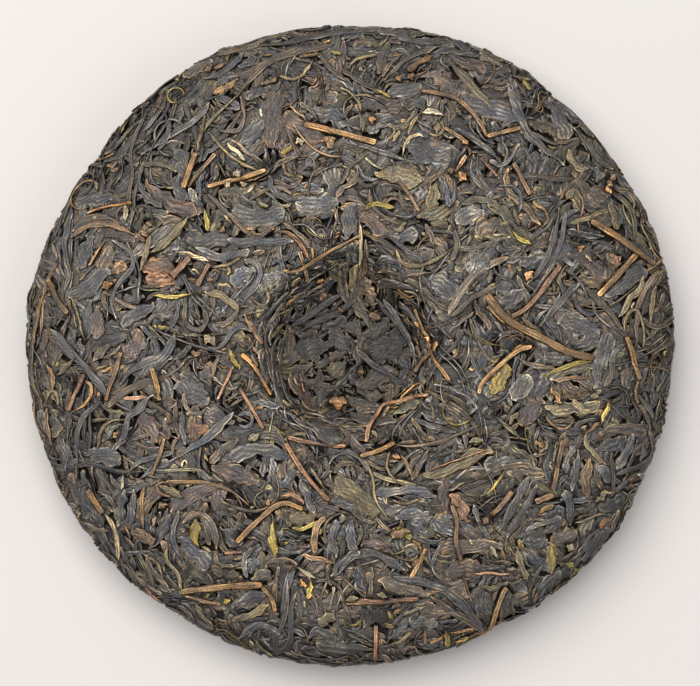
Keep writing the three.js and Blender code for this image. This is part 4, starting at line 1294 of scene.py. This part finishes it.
def evened(route, steps):
    """A smooth line through the route's points at even steps.

    Each of two rounds cuts every corner a quarter of the way along both its sides.
    """
    for _ in range(2):
        cut = np.concatenate([0.75 * route[:-1] + 0.25 * route[1:],
                              0.25 * route[:-1] + 0.75 * route[1:]], 1).reshape(-1, 3)
        route = np.concatenate([route[:1], cut, route[-1:]])
    gone = np.concatenate([[0], np.cumsum(np.linalg.norm(np.diff(route, axis=0), axis=1))])
    even = np.linspace(0, gone[-1], steps)
    return np.stack([np.interp(even, gone, column) for column in route.T], -1)


def link(name, mesh, material):
    """Puts a finished mesh in the scene as a piece that rides on the cake and stands for it."""
    piece = bpy.data.objects.new(name, mesh)
    bpy.context.scene.collection.objects.link(piece)
    mesh.materials.append(material)
    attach(piece, "root")
    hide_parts("tea_cake")


# The sockets of the leaf skin's node group.
SKIN_INPUTS = {
    "Tint": "Color", "Fibre": "Vector", "Edge": "Float", "Mottle": "Float", "Roughness": "Float",
}
SKIN_OUTPUTS = {"Color": "Color", "Roughness": "Float", "Height": "Float"}

# Its noises over a piece's fibre coordinates in metres: scale, detail, and stretch if any.
NOISES = {
    "streaks": (1500, 3, (1.0, 0.14, 1.0)),
    "wrinkles": (900, 3, (1.0, 0.4, 1.0)),
    "speckles": (2400, 2, None),
    "bands": (260, 2, (1.0, 0.5, 1.0)),
    "rolls": (130, 1, None),
    "hues": (420, 3, (1.0, 0.4, 1.0)),
}

# What it makes of a value: a low and a high end, and what each of them becomes. An edge is
# measured in millimetres in from a piece's margin.
RANGES = {
    "ridge": (0.0, 0.05, 1.0, 0.0),
    "streak_light": (0.35, 0.65, 0.45, 1.2),
    "speckle_light": (0.32, 0.68, -0.6, 0.7),
    "roll_start": (0.16, 0.28, 0.0, 1.0),
    "roll_end": (0.34, 0.54, 1.0, 0.0),
    "roll_places": (0.42, 0.54, 0.0, 1.35),
    # Painted shade: each piece's margin is darkened into a dark line between pieces.
    "margin_shade": (0.02, 0.25, 0.08, 1.0),
    "band_light": (0.34, 0.66, 0.68, 1.3),
    "hue": (0.36, 0.64, 0.0, 1.0),
    "band_roughness": (0.3, 0.7, -0.1, 0.12),
}
# Painted highlight on the thin wrinkle ridges of the skin.
RIDGE_HIGHLIGHT = 0.6
COOL = (0.92, 1.0, 1.12, 1)
WARM = (1.11, 1.0, 0.83, 1)
STREAK_HEIGHT = 0.6
RIDGE_HEIGHT = 0.3
SPECKLE_HEIGHT = 0.35
SKIN_RELIEF = 0.0003
SHEEN = 0.42


def leaf_material(name, roughness, mottle):
    """A dull satin leaf: the piece's tint, streaked along its fibres, over a fine grained skin."""
    material = bpy.data.materials.new(name)
    material.use_nodes = True
    nodes, links = material.node_tree.nodes, material.node_tree.links
    shader = nodes["Principled BSDF"]
    skin = nodes.new("ShaderNodeGroup")
    skin.node_tree = leaf_skin()
    skin.inputs["Mottle"].default_value = mottle
    skin.inputs["Roughness"].default_value = roughness
    for attribute, output, socket in (
        ("tint", "Color", "Tint"), ("fibre", "Vector", "Fibre"), ("edge", "Fac", "Edge"),
    ):
        node = nodes.new("ShaderNodeAttribute")
        node.attribute_name = attribute
        links.new(node.outputs[output], skin.inputs[socket])
    relief = nodes.new("ShaderNodeBump")
    relief.inputs["Strength"].default_value = 1.0
    relief.inputs["Distance"].default_value = SKIN_RELIEF
    links.new(skin.outputs["Color"], shader.inputs["Base Color"])
    links.new(skin.outputs["Roughness"], shader.inputs["Roughness"])
    links.new(skin.outputs["Height"], relief.inputs["Height"])
    links.new(relief.outputs["Normal"], shader.inputs["Normal"])
    shader.inputs["Specular IOR Level"].default_value = SHEEN
    return material


def leaf_skin():
    """The node group of leaf skin: streaks along the fibres, speckles, roughness and height."""
    if "leaf_skin" in bpy.data.node_groups:
        return bpy.data.node_groups["leaf_skin"]
    group = bpy.data.node_groups.new("leaf_skin", "ShaderNodeTree")
    for way, sockets in (("INPUT", SKIN_INPUTS), ("OUTPUT", SKIN_OUTPUTS)):
        for name, kind in sockets.items():
            group.interface.new_socket(name, in_out=way, socket_type="NodeSocket" + kind)
    nodes, links = group.nodes, group.links
    given = nodes.new("NodeGroupInput").outputs
    result = nodes.new("NodeGroupOutput").inputs

    def noise(name):
        scale, detail, stretch = NOISES[name]
        source = given["Fibre"]
        if stretch:
            mapping = nodes.new("ShaderNodeMapping")
            mapping.inputs["Scale"].default_value = stretch
            links.new(source, mapping.inputs["Vector"])
            source = mapping.outputs["Vector"]
        texture = nodes.new("ShaderNodeTexNoise")
        texture.inputs["Scale"].default_value = scale
        texture.inputs["Detail"].default_value = detail
        links.new(source, texture.inputs["Vector"])
        return texture.outputs["Fac"]

    def math(operation, first, second):
        node = nodes.new("ShaderNodeMath")
        node.operation = operation
        for socket, value in zip(node.inputs, (first, second)):
            if hasattr(value, "node"):
                links.new(value, socket)
            else:
                socket.default_value = value
        return node.outputs[0]

    def ranged(value, name):
        node = nodes.new("ShaderNodeMapRange")
        for socket, number in zip(list(node.inputs)[1:5], RANGES[name]):
            socket.default_value = number
        links.new(value, node.inputs["Value"])
        return node.outputs["Result"]

    streaks, wrinkles, speckles, bands = map(noise, ("streaks", "wrinkles", "speckles", "bands"))
    off_ridge = math("ABSOLUTE", math("SUBTRACT", streaks, 0.5), 0.0)
    ridges = ranged(off_ridge, "ridge")
    light = math("ADD", ranged(streaks, "streak_light"), ranged(speckles, "speckle_light"))
    # Painted highlight on the wrinkle ridges.
    light = math("ADD", light, math("MULTIPLY", ridges, RIDGE_HIGHLIGHT))
    edge = given["Edge"]
    # Painted highlight on a band just inside each margin, where it rolls.
    rolled_highlight = math("MULTIPLY", ranged(edge, "roll_start"), ranged(edge, "roll_end"))
    rolled_highlight = math("MULTIPLY", rolled_highlight, ranged(noise("rolls"), "roll_places"))
    # Painted shade along each piece's margin.
    light = math("MULTIPLY", math("ADD", light, rolled_highlight), ranged(edge, "margin_shade"))
    light = math("MULTIPLY", light, ranged(bands, "band_light"))
    light = math("MULTIPLY", math("SUBTRACT", light, 1.0), given["Mottle"])
    light = math("ADD", light, 1.0)
    colour = nodes.new("ShaderNodeVectorMath")
    colour.operation = "SCALE"
    links.new(given["Tint"], colour.inputs[0])
    links.new(light, colour.inputs["Scale"])
    hues = nodes.new("ShaderNodeMix")
    hues.data_type = "RGBA"
    hues.inputs["A"].default_value = COOL
    hues.inputs["B"].default_value = WARM
    links.new(ranged(noise("hues"), "hue"), hues.inputs["Factor"])
    hued = nodes.new("ShaderNodeVectorMath")
    hued.operation = "MULTIPLY"
    links.new(colour.outputs["Vector"], hued.inputs[0])
    links.new(hues.outputs["Result"], hued.inputs[1])
    links.new(hued.outputs["Vector"], result["Color"])
    rough = math("ADD", given["Roughness"], ranged(bands, "band_roughness"))
    links.new(rough, result["Roughness"])
    height = math("ADD", math("MULTIPLY", streaks, STREAK_HEIGHT), wrinkles)
    height = math("ADD", height, math("MULTIPLY", ridges, RIDGE_HEIGHT))
    height = math("ADD", height, math("MULTIPLY", speckles, SPECKLE_HEIGHT))
    links.new(height, result["Height"])
    return group


# The families of colours: how their pieces and materials are called, the slot, and the
# material's roughness and mottle.
KINDS = (
    (LEAF_TINTS, "leaves", "leaf", "pressed_leaf", 0.48, 1.0),
    (STEM_TINTS, "stems", "stem", "tea_stem", 0.5, 1.0),
    (BUD_TINTS, "buds", "bud", "tea_bud", 0.5, 0.9),
)

# The core: places around it and rows along its section, the share of its depth that it loses
# at the edge, the size and pitch of its waves, and how its fibres swirl.
CORE_AROUND = 130
CORE_ROWS = 90
CORE_AT_EDGE = 0.58
CORE_WAVE = 0.3
CORE_PITCH = 2.1
CORE_SWIRLS = ((2.5, 0.4, [1, 2, 0]), (1.2, 0.9, [2, 0, 1]))
CORE_ROUGHNESS = 0.8
CORE_MOTTLE = 2.2

# The stage, in metres.
KEY_LIGHT = {"place": (-0.38, 0.4, 1.2), "size": 1.6, "colour": (1.0, 0.955, 0.92)}
FILL_LIGHT = {"place": (0.7, -0.6, 0.8), "size": 0.9, "colour": (0.96, 0.98, 1.0)}
SKY_COLOUR = (1.0, 0.985, 0.97, 1)
FLOOR_REACH = 3.0
FLOOR_GAP = 0.0002
FLOOR_ROUGHNESS = 0.9


class LeafSettings(bpy.types.PropertyGroup):
    """Size of the leaves and depth of the dark inside."""

    seed: IntProperty(
        name="Seed", description="Another number lays the leaves another way", default=357, min=0)
    leaf_size: FloatProperty(
        name="Leaf size", description="Size of the leaves against the real ones",
        default=1.0, min=0.5, max=1.5)
    core_depth: FloatProperty(
        name="Core depth", description="How deep the dark inside lies below the faces",
        default=0.0032, min=0.001, max=0.005, unit="LENGTH")


class StageSettings(bpy.types.PropertyGroup):
    """Light and floor."""

    floor_colour: FloatVectorProperty(
        name="Floor colour", description="Colour of the pale floor", subtype="COLOR",
        size=3, min=0, max=1, default=(0.42, 0.408, 0.401))
    key_power: FloatProperty(
        name="Key light", description="Power of the large light at the upper left",
        default=39, min=0, unit="POWER")
    fill_power: FloatProperty(
        name="Fill light", description="Power of the weaker light at the lower right",
        default=5, min=0, unit="POWER")
    sky: FloatProperty(
        name="Sky", description="Strength of the light from all round", default=0.5, min=0)


class TEA_OT_stems(bpy.types.Operator):
    """Lays the stems, buds, crumbs and leaves that stand out, then loose ones at random"""

    bl_idname = "tea.stems"
    bl_label = "Stems and buds"

    def execute(self, context):
        BED.clear()
        for heap in HEAPS.values():
            heap.clear()
        rng = np.random.default_rng(context.scene.tea_leaves.seed)
        for placed in (HOLLOW_PLACED, PLACED):
            for sort in PROUD:
                lay_placed(rng, placed, sort)
        for sort, count in HOLLOW_ROUNDS:
            lay_random(rng, sort, BED.middles(rng, count, HOLLOW_START, 1), *HOLLOW_FORM)
        for sort, count in LOOSE_ROUNDS:
            for low, high in ((0, BELLY_END), (BELLY_END, 1)):
                lay_random(rng, sort, BED.middles(rng, count, low, high), *LOOSE_FORM)
        return {"FINISHED"}


class TEA_OT_leaves(bpy.types.Operator):
    """Lays the leaves of both faces and the edge, from the outside in"""

    bl_idname = "tea.leaves"
    bl_label = "Leaves"

    def execute(self, context):
        settings = context.scene.tea_leaves
        rng = np.random.default_rng(settings.seed + 1)
        names = [*LEAF_TINTS, *LITTER_TINTS]
        litter = np.full(len(LITTER_TINTS), LITTER_SHARE / len(LITTER_TINTS))
        sides = ((BELLY_END, 1, 1, 1), (0, BELLY_END, BELLY_TRIES, BELLY_SIZE))
        for sort, tries, shown, low, high, size in LAYERS:
            share = 1 if sort in LITTER_SORTS else 0
            weights = [*np.array(LEAF_WEIGHTS) * (1 - share * LITTER_SHARE), *share * litter]
            for start, end, fewer, larger in sides:
                for _ in range(LAYER_PARTS):
                    middles = BED.middles(rng, int(tries * fewer / LAYER_PARTS), start, end)
                    lay_random(rng, sort, middles, shown, (low, high),
                               size * larger * settings.leaf_size, names, weights)
        return {"FINISHED"}


class TEA_OT_gather(bpy.types.Operator):
    """Makes one mesh of all pieces of each colour"""

    bl_idname = "tea.gather"
    bl_label = "Gather"

    def execute(self, context):
        for tints, many, one, slot, roughness, mottle in KINDS:
            for name in tints:
                material = leaf_material(name + "_" + one, roughness, mottle)
                link(name + "_" + many, HEAPS[name].mesh(name), material)
        return {"FINISHED"}


class TEA_OT_core(bpy.types.Operator):
    """Turns the dark inside of the cake, which shows between the leaves"""

    bl_idname = "tea.core"
    bl_label = "Core"

    def execute(self, context):
        rows = np.linspace(0, ARC_END, CORE_ROWS)
        reach, height, out_reach, out_height = section_at(rows)
        depth = context.scene.tea_leaves.core_depth / MM
        depth = depth * (1 - CORE_AT_EDGE * bump(rows - ARC_EDGE, EDGE_THICKNESS))
        reach = np.maximum(reach - depth * out_reach, 0)
        height = height - depth * out_height
        turn = np.arange(CORE_AROUND) * 2 * np.pi / CORE_AROUND
        rings = reach[1:-1, None]
        levels = height[1:-1, None] + 0 * turn
        points = np.stack([rings * np.cos(turn), rings * np.sin(turn), levels], -1)
        poles = np.array([[0, 0, height[0]], [0, 0, height[-1]]])
        points = np.concatenate([points.reshape(-1, 3), poles])
        waves = np.sin(points[:, [1, 2, 0]] * CORE_PITCH + 2 * np.sin(points * 1.1))
        points = points + CORE_WAVE * waves
        fibres = points
        for size, pitch, axes in CORE_SWIRLS:
            fibres = fibres + size * np.sin(points[:, axes] * pitch)
        quads, caps = tube_faces(CORE_ROWS - 2, CORE_AROUND)
        corners = np.concatenate([quads[:, ::-1].ravel(), caps[:, ::-1].ravel()])
        sizes = np.concatenate([np.full(len(quads), 4), np.full(len(caps), 3)])
        # The near-black tint is painted shade for the depth that shows between the leaves.
        tints = np.tile(linear(*CORE_SHADE_TINT), (len(points), 1))
        edges = np.ones(len(points))
        mesh = make_mesh("dark_core", unevened(points), corners, sizes, tints, fibres, edges)
        material = leaf_material("core_painted_shade", CORE_ROUGHNESS, CORE_MOTTLE)
        link("dark_core", mesh, material)
        return {"FINISHED"}


class TEA_OT_stage(bpy.types.Operator):
    """Sets the floor, the lights and the camera"""

    bl_idname = "tea.stage"
    bl_label = "Stage"

    def execute(self, context):
        scene = context.scene
        settings = scene.tea_stage
        floor = bpy.data.meshes.new("floor")
        square = np.array([[-1, -1, 0], [1, -1, 0], [1, 1, 0], [-1, 1, 0]]) * FLOOR_REACH
        floor.from_pydata(square.tolist(), [], [(0, 1, 2, 3)])
        ground = bpy.data.objects.new("floor", floor)
        ground.location.z = -FLOOR_GAP
        scene.collection.objects.link(ground)
        paint = bpy.data.materials.new("floor_pale")
        paint.use_nodes = True
        shader = paint.node_tree.nodes["Principled BSDF"]
        shader.inputs["Base Color"].default_value = (*settings.floor_colour, 1)
        shader.inputs["Roughness"].default_value = FLOOR_ROUGHNESS
        floor.materials.append(paint)
        world = bpy.data.worlds.new("soft_sky")
        world.use_nodes = True
        sky = world.node_tree.nodes["Background"]
        sky.inputs["Color"].default_value = SKY_COLOUR
        sky.inputs["Strength"].default_value = settings.sky
        scene.world = world
        add_light("key", settings.key_power, **KEY_LIGHT)
        add_light("fill", settings.fill_power, **FILL_LIGHT)
        place, forward, _, _ = camera_frame()
        lens = bpy.data.cameras.new("camera")
        lens.sensor_width = SENSOR
        lens.lens = SENSOR * VIEW_DISTANCE / VIEW_SPAN
        camera = bpy.data.objects.new("camera", lens)
        camera.location = place * MM
        camera.rotation_euler = Vector(forward).to_track_quat("-Z", "Y").to_euler()
        scene.collection.objects.link(camera)
        scene.camera = camera
        scene.view_settings.view_transform = "Standard"
        return {"FINISHED"}


def add_light(name, power, place, size, colour):
    """A square light of that size in metres, turned to the cake's middle."""
    lamp = bpy.data.lights.new(name, "AREA")
    lamp.size = size
    lamp.energy = power
    lamp.color = colour
    holder = bpy.data.objects.new(name, lamp)
    holder.location = place
    holder.rotation_euler = (-Vector(place)).to_track_quat("-Z", "Y").to_euler()
    bpy.context.scene.collection.objects.link(holder)


class TEA_PT_panel(bpy.types.Panel):
    """Lists the steps that build the cake"""

    bl_idname = "TEA_PT_panel"
    bl_label = "Tea cake"
    bl_space_type = "VIEW_3D"
    bl_region_type = "UI"
    bl_category = "Tea cake"

    def draw(self, context):
        for operator in OPERATORS:
            self.layout.operator(operator.bl_idname)
        for group, settings in SETTINGS.items():
            for name in settings.__annotations__:
                self.layout.prop(getattr(context.scene, group), name)


OPERATORS = (TEA_OT_stems, TEA_OT_leaves, TEA_OT_gather, TEA_OT_core, TEA_OT_stage)
SETTINGS = {"tea_leaves": LeafSettings, "tea_stage": StageSettings}
CLASSES = (*SETTINGS.values(), *OPERATORS, TEA_PT_panel)


def register():
    for cls in CLASSES:
        bpy.utils.register_class(cls)
    for group, settings in SETTINGS.items():
        setattr(bpy.types.Scene, group, PointerProperty(type=settings))


def unregister():
    for group in SETTINGS:
        delattr(bpy.types.Scene, group)
    for cls in reversed(CLASSES):
        bpy.utils.unregister_class(cls)


def main():
    register()
    for operator in OPERATORS:
        group, name = operator.bl_idname.split(".")
        getattr(getattr(bpy.ops, group), name)()


if __name__ == "__main__":
    main()
